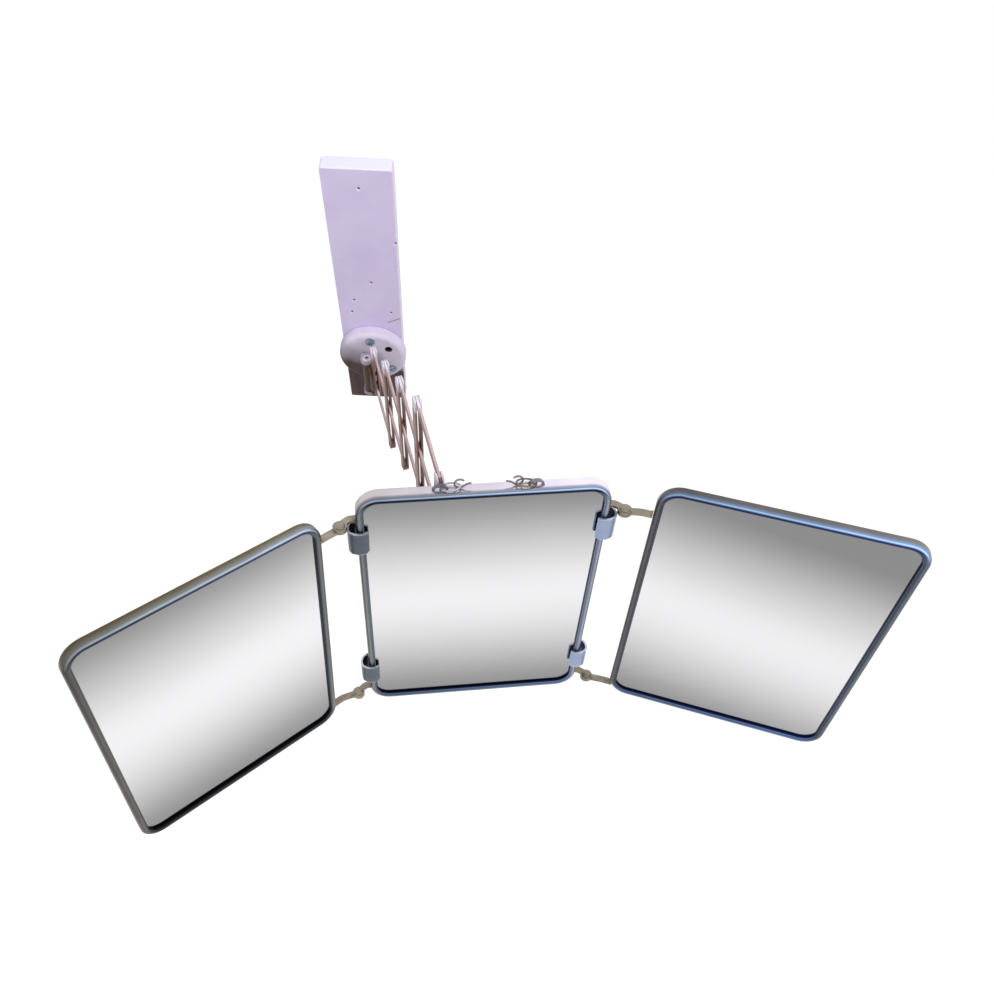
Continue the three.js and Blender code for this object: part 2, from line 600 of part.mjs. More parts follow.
function clampSpine() {
  const { half, waist, thick, past } = SPINE;
  const { radius: r, play } = LUG;
  const [top, foot] = [clampHigh + past, clampLow - past];
  const z = AXIS.above;
  const outline = roundedShape([
    [-half, foot, 4], [half, foot, 4], [half, foot + 30, 3], [waist, foot + 44, 3], [waist, z - 28, 3],
    [lugOut, z - 14, 3], [lugOut, z + 12, 3], [half, z + 18, 3], [half, top, 4], [-half, top, 4],
    [-half, z + 18, 3], [-lugOut, z + 12, 3], [-lugOut, z - 14, 3], [-waist, z - 28, 3],
    [-waist, foot + 44, 3], [-half, foot + 30, 3],
  ]);
  const inner = TILT.half + play;
  const blade = facingOut(plate(outline, thick, 1)).translate(0, spineFront + thick / 2, 0);
  const lug = new THREE.Shape();
  lug.moveTo(spineFront, z - r).lineTo(AXIS.behind, z - r);
  lug.absarc(AXIS.behind, z, r, -QUARTER, QUARTER, false);
  lug.lineTo(spineFront, z + r).closePath();
  const lugs = [-1, 1].map((side) =>
    standing(plate(lug, LUG.thick, 3)).translate(side * (inner + LUG.thick / 2), 0, 0));
  const studs = [clampHigh, clampLow].flatMap((height) =>
    [-STUD.x, STUD.x].map((x) => spineStud(x, height)));
  const window = box(-inner, inner, 0, AXIS.behind, z - r, z + r);
  const bore = rod(hole(TILT.pin), -30, 30).rotateY(QUARTER).translate(0, AXIS.behind, z);
  return cut(joined(cut(blade, window), ...lugs, ...studs), bore);
}
centre.add(mesh("clamp_spine", clampSpine(), clampSteel));

// Hinges: two flat straps with round eyes, one on top of the other, on an upright rivet.
const HINGE = { out: 12, y: -0.8, wingOut: 21.7, wingY: 0.1, fromTop: 23, fromFoot: 3 };
const hingeX = frameSide + HINGE.out;
const wingX = frameSide + HINGE.wingOut;
const hingeHigh = GLASS.height / 2 - HINGE.fromTop;
const hingeLow = HINGE.fromFoot - GLASS.height / 2;
const STRAP = {
  thick: 2.2, width: 6, eye: 5.4, foot: 1.6, footHalf: 2.2, footDown: 1.1, footUp: 2.5, back: 6.2, wingBack: 2.6,
};
const HINGE_RIVET = { head: 4.2, rise: 1.9 };

// A strap whose eye is at the origin and whose foot stands against a frame's side, out along dir.
function strap(dir, reach, back) {
  const { thick, width, eye, foot, footHalf, footDown, footUp } = STRAP;
  const seat = dir * reach;
  const line = [[seat, back], [seat * 0.6, back], [seat * 0.2, back * 0.45], [0, 0]];
  const neck = plate(stripShape(line, width, 2), thick);
  const ends = [seat, seat - dir * foot].sort((a, b) => a - b);
  const flange = box(...ends, back - footHalf, back + footHalf, -footDown, footUp);
  return cut(joined(neck, rod(eye, -thick / 2, thick / 2, 12), flange), rod(hole(RIVET.radius), -5, 5));
}

// How far a frame's side has curved in at a height, where the corner has begun.
function cornerSink(z) {
  const radius = GLASS.corner + FRAME.face;
  const into = Math.max(Math.abs(z) - GLASS.height / 2 + GLASS.corner, 0);
  return radius - Math.sqrt(radius * radius - into * into);
}

function hingeRivet() {
  const { head: wide, rise } = HINGE_RIVET;
  const end = STRAP.thick + SEAT;
  return turned([
    [0, -end - rise], [wide * 0.6, -end - rise * 0.85], [wide, -end], [RIVET.radius, -end],
    [RIVET.radius, end], [wide, end], [wide * 0.6, end + rise * 0.85], [0, end + rise],
  ]);
}

for (const { name, side, fold, lean, roll, drop } of WINGS) {
  const wing = new THREE.Group();
  wing.position.set(side * hingeX, HINGE.y, 0);
  wing.rotation.z = fold;
  centre.add(wing);
  const lift = (STRAP.thick + SEAT / 2) / 2;
  for (const [level, z] of [["upper", hingeHigh], ["lower", hingeLow]]) {
    const reach = HINGE.out - 2 * SEAT + cornerSink(z + lift + STRAP.footUp);
    const fixed = mesh(`${name}_${level}_centre_strap`, strap(-side, reach, STRAP.back - HINGE.y), strapMetal);
    fixed.position.set(side * hingeX, HINGE.y, z + lift);
    const rivet = mesh(`${name}_${level}_hinge_rivet`, hingeRivet(), steel);
    rivet.position.set(side * hingeX, HINGE.y, z);
    centre.add(fixed, rivet);
    // The wing hangs a little out of true, so each of its straps is bent to suit.
    const rollSink = side * (z - drop + STRAP.footUp) * Math.sin(roll);
    const wingReach = HINGE.wingOut - 2 * SEAT + rollSink + cornerSink(z - lift - drop + STRAP.footUp);
    const wingBack = STRAP.wingBack + HINGE.wingY - (z - drop) * Math.sin(lean);
    const moving = mesh(`${name}_${level}_wing_strap`, strap(side, wingReach, wingBack), strapMetal);
    moving.position.z = z - lift;
    wing.add(moving);
  }
  const panel = new THREE.Group();
  panel.position.set(side * wingX, HINGE.wingY, drop);
  panel.rotation.set(lean, roll, 0, "ZXY");
  wing.add(panel);
  addMirror(panel, name, FRAME.wingDepth);
}

// Two lugs on top of the centre frame, each with a wire ring and a small hook to hang things on.
const HANGER = { y: 4, lug: 3.2, wire: 0.75, long: 7.5, wide: 4.2, hook: 3.9, tail: 4.6 };
const HANGERS = [["left", -33, 1], ["right", 38, -1]];
const RISE = { lug: 0.1, ring: 1.15, tilt: 5.5 * DEG };

function hangingLug() {
  const half = 6;
  const rightSide = [[1.6, 3.6], [3.4, 2.9], [half - 0.8, 0.5], [half, 0.45]];
  const tab = [...rightSide.map(([x, z]) => [-x, z]).reverse(), ...rightSide];
  return facingOut(plate(stripShape(tab, 0.9, 2), HANGER.lug));
}

// A wire bent along a line in the XY plane. A closed line gives an endless wire.
function bentWire(points, closed, steps) {
  const line = new THREE.CatmullRomCurve3(points.map(([x, y]) => new THREE.Vector3(x, y, 0)), closed);
  if (closed) return joined(new THREE.TubeGeometry(line, steps, HANGER.wire, 6, true));
  const section = new THREE.Shape().absarc(0, 0, HANGER.wire, 0, 2 * Math.PI, false);
  const settings = { extrudePath: line, steps, curveSegments: 3, bevelEnabled: false };
  return new THREE.ExtrudeGeometry(section, settings);
}

// The ring's wire passes under the lug at the origin, and its far end is out along +X.
function hangingRing() {
  const { long, wide } = HANGER;
  const turn = 2 * Math.PI;
  return bentWire(ellipseArc(long, 0, long, wide, 0, turn * (1 - 1 / 16), 15), true, 16);
}

// The hook is wire coiled once to a small eye, with its end drawn out to a tail.
function hangingHook() {
  const { hook, tail } = HANGER;
  const coil = ellipseArc(0, 0, hook, hook, 40 * DEG, 320 * DEG, 9);
  return facingOut(bentWire([...coil, [hook + 1, -1], [hook + tail, 0]], false, 18));
}

for (const [name, x, dir] of HANGERS) {
  const lug = mesh(`${name}_hanging_lug`, hangingLug(), steel);
  lug.position.set(x, HANGER.y, frameTop + RISE.lug);
  const ring = mesh(`${name}_hanging_ring`, hangingRing(), steel);
  ring.position.set(x, HANGER.y, frameTop + RISE.ring);
  ring.rotation.set(0, -RISE.tilt, dir > 0 ? 0 : Math.PI, "ZYX");
  const far = 2 * HANGER.long - HANGER.wire;
  const hook = mesh(`${name}_hanging_hook`, hangingHook(), steel);
  hook.position.set(x + dir * far, HANGER.y, frameTop + HANGER.hook + HANGER.wire + SEAT);
  hook.rotation.z = dir > 0 ? 0 : Math.PI;
  centre.add(lug, ring, hook);
}

export default root;
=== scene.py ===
# %% [markdown]
# # Barber's mirror
# A framed shaving mirror with a hinged wing on each side hangs from a lazy-tongs arm on a small
# wall board. The CAD model gives the places and the joints. Here each piece gets a smoother shape
# and the finish of the real one: worn gloss paint, rubbed bars, plated frames, silvered glass. Some
# light and shade is painted into these colours as well.

import math

import bmesh
import bpy
from mathutils import Matrix, Vector


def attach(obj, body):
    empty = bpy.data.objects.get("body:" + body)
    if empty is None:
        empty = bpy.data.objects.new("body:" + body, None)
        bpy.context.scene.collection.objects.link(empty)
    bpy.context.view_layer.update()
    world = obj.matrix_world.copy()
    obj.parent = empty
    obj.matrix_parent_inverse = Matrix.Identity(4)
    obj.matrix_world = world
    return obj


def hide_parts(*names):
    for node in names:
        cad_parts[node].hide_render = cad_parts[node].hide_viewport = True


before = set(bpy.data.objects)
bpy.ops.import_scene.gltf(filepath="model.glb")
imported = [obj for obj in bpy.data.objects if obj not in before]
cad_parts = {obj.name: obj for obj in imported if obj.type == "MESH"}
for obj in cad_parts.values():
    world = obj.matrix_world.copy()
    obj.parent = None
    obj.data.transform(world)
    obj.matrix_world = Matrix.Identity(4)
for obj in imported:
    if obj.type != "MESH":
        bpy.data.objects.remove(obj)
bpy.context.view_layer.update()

# %% [markdown]
# ## Sizes
# The real sizes are written once, in millimetres, and everything below follows them. A model that
# is built from named sizes can be checked against the real thing with a ruler.

# %% Sizes
MM = 0.001
DEG = math.pi / 180
QUARTER, HALF_TURN, TURN = math.pi / 2, math.pi, 2 * math.pi

BOARD_WIDTH, BOARD_HEIGHT, BOARD_THICK = 66, 322, 16
BLOCK_RADIUS, BLOCK_THICK, BLOCK_Z = 37, 14, -74
BLOCK_FACE = -BOARD_THICK - BLOCK_THICK
GLASS_WIDTH, GLASS_HEIGHT, GLASS_THICK, GLASS_CORNER = 180, 248, 2.2, 12
FRAME_FACE, FRAME_WALL, FRAME_NOSE, FRAME_LIP, FRAME_BASE = 6, 1.2, 3, 3, 0.3
CENTRE_DEPTH, WING_DEPTH = 9, 5
FRAME_SIDE = GLASS_WIDTH / 2 + FRAME_FACE
FRAME_TOP = GLASS_HEIGHT / 2 + FRAME_FACE
BAR_PITCH, BAR_WIDTH, OUTER_BAR, INNER_BAR, BAR_GAP = 67, 10, 1.6, 2.2, 0.3
RIVET_RADIUS, RIVET_HEAD, RIVET_RISE = 2, 3.3, 0.9
SEAT, SUNK = 0.15, 0.2

# %% [markdown]
# ## Places
# The arm, the mirror head, the tilting carriage and each wing have their own axes. A matrix for
# each lets a piece be drawn in simple local sizes and then be put in place inside its mesh.

# %% Places
PIN_X, PIN_Y = -4.6, BLOCK_FACE - 10.1
ARM_SWING, ARM_OPEN = 19.1 * DEG, 77.9 * DEG
MIRROR_TURN, MIRROR_ROLL, MIRROR_TILT = 8.44 * DEG, 1.74 * DEG, -14.6 * DEG
TONGS_X, TONGS_OUT, TONGS_TOP, CELLS = 6, 14, -37.8, 3
HINGE_X, HINGE_Y = FRAME_SIDE + 12, -0.8
WING_X, WING_Y = FRAME_SIDE + 21.7, 0.1
TILT_AXIS = (32.1, -18, 62)
AXIS_BEHIND, AXIS_ABOVE = 21.6, 55


def shift(x, y, z):
    return Matrix.Translation((x, y, z))


def turn(angle, axis):
    return Matrix.Rotation(angle, 4, axis)


FACE_OUT = turn(QUARTER, "X")
STAND = turn(QUARTER, "Z") @ FACE_OUT
ALONG_X = turn(QUARTER, "Y")
WALL = Matrix.Identity(4)
ARM = shift(PIN_X, PIN_Y, 0) @ turn(ARM_SWING, "Z")
REACH = BAR_PITCH * math.sin(ARM_OPEN)
RISE = BAR_PITCH * (1 - math.cos(ARM_OPEN))
END_Y = -TONGS_OUT - (CELLS + 1) * REACH
END_Z = TONGS_TOP + (CELLS + 1) * RISE - BAR_PITCH
END_PIN_Y = END_Y - TONGS_OUT
HEAD = ARM @ shift(0, END_PIN_Y, 0) @ turn(MIRROR_TURN - ARM_SWING, "Z")
CARRIAGE = HEAD @ shift(*TILT_AXIS) @ turn(MIRROR_ROLL, "Y") @ turn(MIRROR_TILT, "X")
CENTRE = CARRIAGE @ shift(0, -AXIS_BEHIND, -AXIS_ABOVE)
WINGS = {
    "left_wing": dict(side=-1, fold=34.8 * DEG, lean=1.4 * DEG, roll=1.5 * DEG, drop=-2),
    "right_wing": dict(side=1, fold=-23.9 * DEG, lean=-0.6 * DEG, roll=-0.2 * DEG, drop=2.2),
}
for wing in WINGS.values():
    hinge_place = shift(wing["side"] * HINGE_X, HINGE_Y, 0) @ turn(wing["fold"], "Z")
    wing["hinge"] = CENTRE @ hinge_place
    hang = shift(wing["side"] * WING_X, WING_Y, wing["drop"])
    wing["panel"] = wing["hinge"] @ hang @ turn(wing["lean"], "X") @ turn(wing["roll"], "Y")
print("mirror centre, mm:", [round(v, 1) for v in CENTRE.translation])

# %% [markdown]
# ## Camera
# The photograph looks down at the mirrors from the front right, a good half metre away. The lens
# and the small shift give the same crop, so the two pictures can be laid over each other.

# %% Camera
PHOTO_WIDTH, PHOTO_HEIGHT, SENSOR = 994, 995, 36
FOCAL_PIXELS, CENTRE_X, CENTRE_Y = 847.1, 450.4, 544.4
ROLL, YAW, PITCH = 0.053, 0.017, 1.081
TO_CAMERA = turn(ROLL, "Z") @ turn(YAW, "Y") @ turn(PITCH, "X") @ FACE_OUT
CAMERA_SHIFT = Vector((-0.467, -1.841, 4.152)) * GLASS_WIDTH
BOARD_TOP_FRONT = Vector((0, -BOARD_THICK, BOARD_HEIGHT / 2))

right, down, ahead = TO_CAMERA.to_3x3()
spot = (-(TO_CAMERA.to_3x3().transposed() @ CAMERA_SHIFT) + BOARD_TOP_FRONT) * MM
camera_data = bpy.data.cameras.new("camera")
camera_data.sensor_width = SENSOR
camera_data.lens = SENSOR * FOCAL_PIXELS / PHOTO_HEIGHT
camera_data.shift_x = (PHOTO_WIDTH / 2 - CENTRE_X) / PHOTO_HEIGHT
camera_data.shift_y = (CENTRE_Y - PHOTO_HEIGHT / 2) / PHOTO_HEIGHT
camera_data.clip_start = 0.01
camera = bpy.data.objects.new("camera", camera_data)
bpy.context.scene.collection.objects.link(camera)
facing = Matrix((right, -down, -ahead)).transposed().to_4x4()
camera.matrix_world = Matrix.Translation(spot) @ facing
bpy.context.scene.camera = camera
print("camera at", [round(v, 3) for v in spot], "lens", round(camera_data.lens, 2))

# %% [markdown]
# ## Shader arithmetic
# A finish is a small sum: base colour plus grain, less wear, and so on. Wrapping a socket in a
# class with Python's own operators lets that sum be read as one, and each sign adds a Math node.

# %% Shader arithmetic


def arithmetic(operation, reflected=False):
    """A method that works on a signal and another signal or a number, in a Math node."""

    def method(self, other=0):
        first, second = (other, self) if reflected else (self, other)
        return self.nodes.add("ShaderNodeMath", {"operation": operation}, {0: first, 1: second})

    return method


class Signal:
    """One output of a shader node, which ordinary arithmetic works on."""

    def __init__(self, nodes, socket):
        self.nodes = nodes
        self.socket = socket

    __add__ = __radd__ = arithmetic("ADD")
    __mul__ = __rmul__ = arithmetic("MULTIPLY")
    __sub__, __rsub__ = arithmetic("SUBTRACT"), arithmetic("SUBTRACT", reflected=True)
    __truediv__, __rtruediv__ = arithmetic("DIVIDE"), arithmetic("DIVIDE", reflected=True)
    above, below = arithmetic("MAXIMUM"), arithmetic("MINIMUM")
    size, root = arithmetic("ABSOLUTE"), arithmetic("SQRT")

    def clamped(self):
        return self.above(0).below(1)

    def hypotenuse(self, other):
        return (self * self + other * other).root()


class Nodes:
    """A tree of shader nodes."""

    def __init__(self, tree):
        self.tree = tree

    def add(self, kind, settings=None, inputs=None, output=0):
        """Adds a node of a type, sets it up, feeds its sockets and returns one output."""
        node = self.tree.nodes.new(kind)
        for name, value in (settings or {}).items():
            if name == "curve":
                node.color_ramp.interpolation = value
            elif name == "stops":
                while len(node.color_ramp.elements) < len(value):
                    node.color_ramp.elements.new(0.5)
                for element, (at, colour) in zip(node.color_ramp.elements, value):
                    element.position = at
                    element.color = (*colour, 1)
            else:
                setattr(node, name, value)
        for socket, value in (inputs or {}).items():
            if isinstance(value, Signal):
                self.tree.links.new(value.socket, node.inputs[socket])
            else:
                node.inputs[socket].default_value = value
        return Signal(self, node.outputs[output])


# %% [markdown]
# Every finish here is one Principled shader, because that is what other programs understand. Noise,
# ramps and mixes vary its colour, its roughness and a fine relief, as wear and dirt do. In some
# finishes the colour also carries painted light and shade.

# %% Paints


class Paint(Nodes):
    """A material with one Principled shader. The slot of the CAD record that it is meant for is kept
    on it, but is not used here.
    """

    def __init__(self, name, slot=None, **constants):
        self.material = bpy.data.materials.new(name)
        self.material.use_nodes = True
        self.slot = slot or name
        super().__init__(self.material.node_tree)
        for socket, value in constants.items():
            self.socket(socket).default_value = value
        self.place = self.add("ShaderNodeTexCoord", output="Object")

    def socket(self, name):
        title = name.replace("_", " ").title().replace("Ior", "IOR")
        return self.tree.nodes["Principled BSDF"].inputs[title]

    def feed(self, **sockets):
        for name, value in sockets.items():
            self.tree.links.new(value.socket, self.socket(name))

    def done(self, colour, roughness, relief=None, depth=0.0003, strength=0.5):
        """Feeds the shader, with a bump from a relief, and gives the paint back."""
        self.feed(base_color=colour, roughness=roughness.clamped())
        if relief is not None:
            inputs = {"Height": relief, "Distance": depth, "Strength": strength}
            self.feed(normal=self.add("ShaderNodeBump", {}, inputs, "Normal"))
        print(self.material.name, "has", len(self.tree.nodes), "nodes")
        return self

    def noise(self, scale, detail=3, stretch=(1, 1, 1)):
        place = self.add("ShaderNodeMapping", {}, {"Vector": self.place, "Scale": stretch})
        inputs = {"Vector": place, "Scale": scale, "Detail": detail, "Roughness": 0.55}
        return self.add("ShaderNodeTexNoise", {}, inputs, "Fac")

    def ramp(self, value, stops, curve="LINEAR"):
        settings = {"stops": stops, "curve": curve}
        return self.add("ShaderNodeValToRGB", settings, {"Fac": value}, "Color")

    def mix(self, factor, first, second, blend="MIX"):
        """Blends two colours, each three numbers or a signal, by a factor held within 0 and 1."""
        colours = [c if isinstance(c, Signal) else (*c, 1) for c in (first, second)]
        settings = {"data_type": "RGBA", "blend_type": blend}
        return self.add("ShaderNodeMix", settings, {0: factor, 6: colours[0], 7: colours[1]}, 2)

    def attribute(self, name, output="Fac"):
        return self.add("ShaderNodeAttribute", {"attribute_name": name}, {}, output)

    def axis(self, letter, name="drawn"):
        """A coordinate on the piece as it was drawn, in millimetres, or on another map."""
        at = self.attribute(name, "Vector")
        return self.add("ShaderNodeSeparateXYZ", {}, {0: at}, "XYZ".index(letter))

    def rightward(self):
        """0 at the left side of a frame, 1 at its right side."""
        return (self.axis("X") / (2 * FRAME_SIDE) + 0.5).clamped()

    def near(self, point, radius):
        """1 at a point, given in millimetres, falling to 0 at a radius from it."""
        inputs = {0: self.place, 1: [v * MM for v in point]}
        away = self.add("ShaderNodeVectorMath", {"operation": "DISTANCE"}, inputs, "Value")
        return (1 - away / (radius * MM)).clamped()

    def scratch(self, start, end, width):
        """1 along a straight scratch between two (x, z) places, 0 off it."""
        (x0, z0), (x1, z1) = start, end
        run, rise = x1 - x0, z1 - z0
        x, z = self.axis("X") - x0, self.axis("Z") - z0
        along = ((x * run + z * rise) / (run * run + rise * rise)).clamped()
        away = (x - along * run).hypotenuse(z - along * rise)
        return (1 - away / width).clamped()


# %% [markdown]
# ## Finishes
# The board is a lilac gloss paint that has gone chalky. It has a few dents and one long scratch. The
# damage is a handful of real places, so each is a short distance sum on the board's own coordinates.
# Its top end and sides are pale, partly rubbed and partly a painted highlight. Bare brown wood shows
# on the back, and low on the front, below the arm, the same dark brown is partly wear and partly a
# painted shadow.

# %% Board paint
LILAC, PALE_LILAC, CHALK = (0.65, 0.55, 0.81), (0.79, 0.71, 0.91), (0.69, 0.62, 0.84)
RUBBED_AND_LIT_EDGE, CHIPPED, DENT_DARK = (0.88, 0.85, 0.92), (0.90, 0.87, 0.96), (0.10, 0.06, 0.12)
DARK_WOOD_AND_SHADE, PALE_WOOD_AND_SHADE = (0.035, 0.018, 0.018), (0.12, 0.07, 0.065)
DENTS = [(1.4, 140.7), (32.2, 79), (4.3, 26.3), (-15.5, 0.9), (-18.9, -16.5), (22.7, -15.6)]
DENT_RADIUS, CHIP_RADIUS, TOP_CHIP = 1.5, 1.9, (1, -BOARD_THICK, 138.6)
SCRATCH_FROM, SCRATCH_TO, SCRATCH_WIDTH = (18.6, -31.1), (32, -24), 0.7
SHADOW_AND_WEAR_BELOW, SHADOW_AND_WEAR_FADE = -100, 14
PAINT_DEPTH = 0.0006


def painted_wood(paint, shade_and_bare, deep, pale):
    """Chalky lilac gloss that turns dark wood brown by a mask, for bare wood, wear and painted shade.
    """
    patches = paint.noise(22, 4)
    streaks = paint.noise(60, 3, (1, 1, 0.08))
    colour = paint.mix(patches * 1.6 - 0.4, deep, pale)
    colour = paint.mix(streaks * 0.5 - 0.1, colour, CHALK)
    # The dark brown stands for bare wood and wear, and also for painted shade.
    dark_brown_share = (shade_and_bare * 2 - patches * 0.9).clamped()
    wood = paint.mix(paint.noise(160, 3, (1, 1, 0.05)), DARK_WOOD_AND_SHADE, PALE_WOOD_AND_SHADE)
    roughness = 0.3 + patches * 0.25 + dark_brown_share * 0.3
    return paint.mix(dark_brown_share, colour, wood), roughness, streaks * 0.4 + patches * 0.4


def board_paint():
    paint = Paint("board_paint")
    depth = paint.axis("Y") + BOARD_THICK
    front = (1.5 - depth).clamped()
    back = (depth - BOARD_THICK + 1).clamped()
    # Low on the front, below the arm, the dark brown is partly wear and partly a painted shadow.
    below = ((SHADOW_AND_WEAR_BELOW - paint.axis("Z")) / SHADOW_AND_WEAR_FADE).clamped() * front * 0.85
    colour, roughness, relief = painted_wood(paint, below.above(back), LILAC, PALE_LILAC)
    # The top end and the sides are pale, partly rubbed paint and partly a painted highlight.
    sideways = (paint.axis("X").size() - BOARD_WIDTH / 2 + 1) * 0.6
    upward = (paint.axis("Z") - BOARD_HEIGHT / 2 + 1.5) * 2
    worn_and_lit_edge = (sideways.above(upward) + paint.noise(90) - 0.4).clamped()
    colour = paint.mix(worn_and_lit_edge * (1 - back) * 0.8, colour, RUBBED_AND_LIT_EDGE)
    dents = paint.scratch(SCRATCH_FROM, SCRATCH_TO, SCRATCH_WIDTH) * front
    chips = paint.near(TOP_CHIP, CHIP_RADIUS)
    for x, z in DENTS:
        dents = dents.above((paint.near((x, -BOARD_THICK, z), DENT_RADIUS) * 2).clamped())
        chips = chips.above(paint.near((x - 0.9, -BOARD_THICK, z - 1.4), CHIP_RADIUS))
    colour = paint.mix(chips * 1.6, colour, CHIPPED)
    colour = paint.mix(dents * 1.1, colour, DENT_DARK)
    return paint.done(colour, roughness, relief - dents * 2.5, PAINT_DEPTH)


BOARD_PAINT = board_paint()

# %% [markdown]
# The block has the same paint. Low on its left it carries painted shade in the dark wood brown, and
# painted shade darkens the lost screw's hole.

# %% Block paint
BLOCK_LILAC, BLOCK_PALE, HOLE_SHADE = (0.66, 0.59, 0.73), (0.84, 0.79, 0.88), (0.012, 0.008, 0.012)
BLOCK_SHADE, BLOCK_SHADE_REACH = (-34, BLOCK_FACE, BLOCK_Z - 30), 80
HOLE_CIRCLE, HOLE_ANGLE, HOLE_RADIUS, HOLE_MOUTH, HOLE_DEEP = 24.5, 40 * DEG, 3, 4.2, 9
LOST_X, LOST_Y = HOLE_CIRCLE * math.cos(HOLE_ANGLE), HOLE_CIRCLE * math.sin(HOLE_ANGLE)


def block_paint():
    paint = Paint("block_paint", "board_paint")
    # Painted shade, in the dark wood brown, low on the block's left.
    shade_and_bare = paint.near(BLOCK_SHADE, BLOCK_SHADE_REACH)
    colour, roughness, relief = painted_wood(paint, shade_and_bare, BLOCK_LILAC, BLOCK_PALE)
    away = (paint.axis("X") - LOST_X).hypotenuse(paint.axis("Y") - LOST_Y)
    # Painted shade fills the lost screw's hole out to its mouth.
    colour = paint.mix((HOLE_MOUTH + 0.1 - away) / 0.3, colour, HOLE_SHADE)
    return paint.done(colour, roughness, relief, PAINT_DEPTH)


BLOCK_PAINT = block_paint()

# %% [markdown]
# The bars are painted strip steel. Years of opening and closing have rubbed the flats brown, and the
# narrow edges have a brown of their own. On the slanted bars the narrow edges are much paler, as a
# painted highlight, and the round upper tips of all the bars carry a pale painted highlight. The
# bracket and the yoke are still lilac grey, and the flags are nearly black. All are the same cloudy
# paint in other colours.

# %% Iron and bar paint
DULL = 0.15
NARROW_FROM, TIP_FROM = BAR_WIDTH / 2 - 0.45, -9
BAR_COLOURS = ((0.20, 0.105, 0.085), (0.36, 0.22, 0.195), (0.09, 0.05, 0.04))
IRON_COLOURS = ((0.34, 0.28, 0.35), (0.60, 0.52, 0.62), (0.10, 0.06, 0.06))
FLAG_COLOURS = ((0.035, 0.018, 0.014), (0.13, 0.08, 0.06), (0.02, 0.01, 0.01))
# The pale tip colour and the slanted bars' pale edge colour are painted highlights; the upright bars'
# edge colour is their own brown.
BAR_EDGE, SLANT_EDGE_HIGHLIGHT, BAR_TIP_HIGHLIGHT = (0.29, 0.16, 0.13), (0.58, 0.42, 0.41), (0.86, 0.80, 0.88)


def rubbed_paint(name, slot, colours, edge=None):
    paint = Paint(name, slot, specular_ior_level=DULL)
    dark, pale, grime = colours
    cloud = paint.noise(45, 4)
    specks = paint.noise(420, 2)
    colour = paint.mix(cloud * 2 - 0.5, dark, pale)
    if edge:
        out = paint.axis("Y").size()
        # The narrow edges get the edge colour, which on the slanted bars is a painted highlight.
        colour = paint.mix((out - NARROW_FROM) / 0.3, colour, edge)
        # A pale painted highlight on the upper tips, with a ragged cloudy edge.
        tip_highlight = ((paint.axis("Z") - TIP_FROM + cloud * 4) / 5).clamped()
        colour = paint.mix(tip_highlight * 0.85, colour, BAR_TIP_HIGHLIGHT)
    colour = paint.mix((specks - 0.62) * 5, colour, grime)
    return paint.done(colour, 0.28 + cloud * 0.3, cloud * 0.5 + specks * 0.3)


BAR_PAINT = rubbed_paint("bar_paint", "bar_paint", BAR_COLOURS, BAR_EDGE)
SLANT_PAINT = rubbed_paint("slant_paint", "bar_paint", BAR_COLOURS, SLANT_EDGE_HIGHLIGHT)
IRON_PAINT = rubbed_paint("iron_paint", "iron_paint", IRON_COLOURS)
FLAG_PAINT = rubbed_paint("flag_paint", "iron_paint", FLAG_COLOURS)

# %% [markdown]
# The swivel pins are tubular rivets. Paint is left on the rolled ring, and painted shade darkens the
# bore.

# %% Pin paint
PIN_RADIUS, PIN_HEAD, PIN_RISE, PIN_BORE, PIN_DEEP, PIN_PLAY = 3.2, 4.8, 1.6, 1.6, 6, 0.1
RING_DEEP, RING_PALE, BORE_SHADE = (0.55, 0.48, 0.58), (0.82, 0.78, 0.88), (0.02, 0.012, 0.015)


def pin_paint():
    paint = Paint("pin_paint", "screw_steel", metallic=0.2)
    cloud = paint.noise(120)
    away = paint.axis("X").hypotenuse(paint.axis("Y"))
    colour = paint.mix(cloud, RING_DEEP, RING_PALE)
    # Painted shade darkens the bore.
    colour = paint.mix((PIN_BORE + 0.5 - away) / 0.3, colour, BORE_SHADE)
    return paint.done(colour, 0.3 + cloud * 0.3, cloud)


PIN_PAINT = pin_paint()

# %% [markdown]
# Bare metal is grey with a tint: blue-grey screws, olive straps that have lost their brass shine,
# and steel or brown wire. Metal reads by its highlights, so its stains and scratches are rougher.

# %% Bare metals


def worn_metal(name, dark, pale, roughness, slot="screw_steel"):
    paint = Paint(name, slot, metallic=0.85)
    cloud = paint.noise(70, 4)
    scratches = paint.noise(900, 2, (1, 1, 0.06))
    colour = paint.mix(cloud * 2 - 0.5, dark, pale)
    roughness = roughness + cloud * 0.25 + scratches * 0.1
    relief = cloud * 0.4 + scratches * 0.3
    return paint.done(colour, roughness, relief, depth=0.0002, strength=0.4)


SCREW_STEEL = worn_metal("screw_steel", (0.08, 0.10, 0.15), (0.30, 0.38, 0.46), 0.12)
STRAP_METAL = worn_metal("strap_metal", (0.16, 0.135, 0.10), (0.46, 0.41, 0.33), 0.3, "strap_metal")
DARK_STEEL = worn_metal("dark_steel", (0.05, 0.04, 0.05), (0.34, 0.33, 0.38), 0.2)
PALE_WIRE = worn_metal("pale_wire", (0.26, 0.25, 0.28), (0.66, 0.65, 0.70), 0.25)
BROWN_WIRE = worn_metal("brown_wire", (0.12, 0.07, 0.04), (0.40, 0.29, 0.19), 0.25)

# %% [markdown]
# The clamps are blued sheet steel, with painted shade that makes them darker towards the left and
# paler towards the right, and their cut edges are rubbed bright. A coordinate on the drawn strip says
# how near its upper or lower edge a point is.

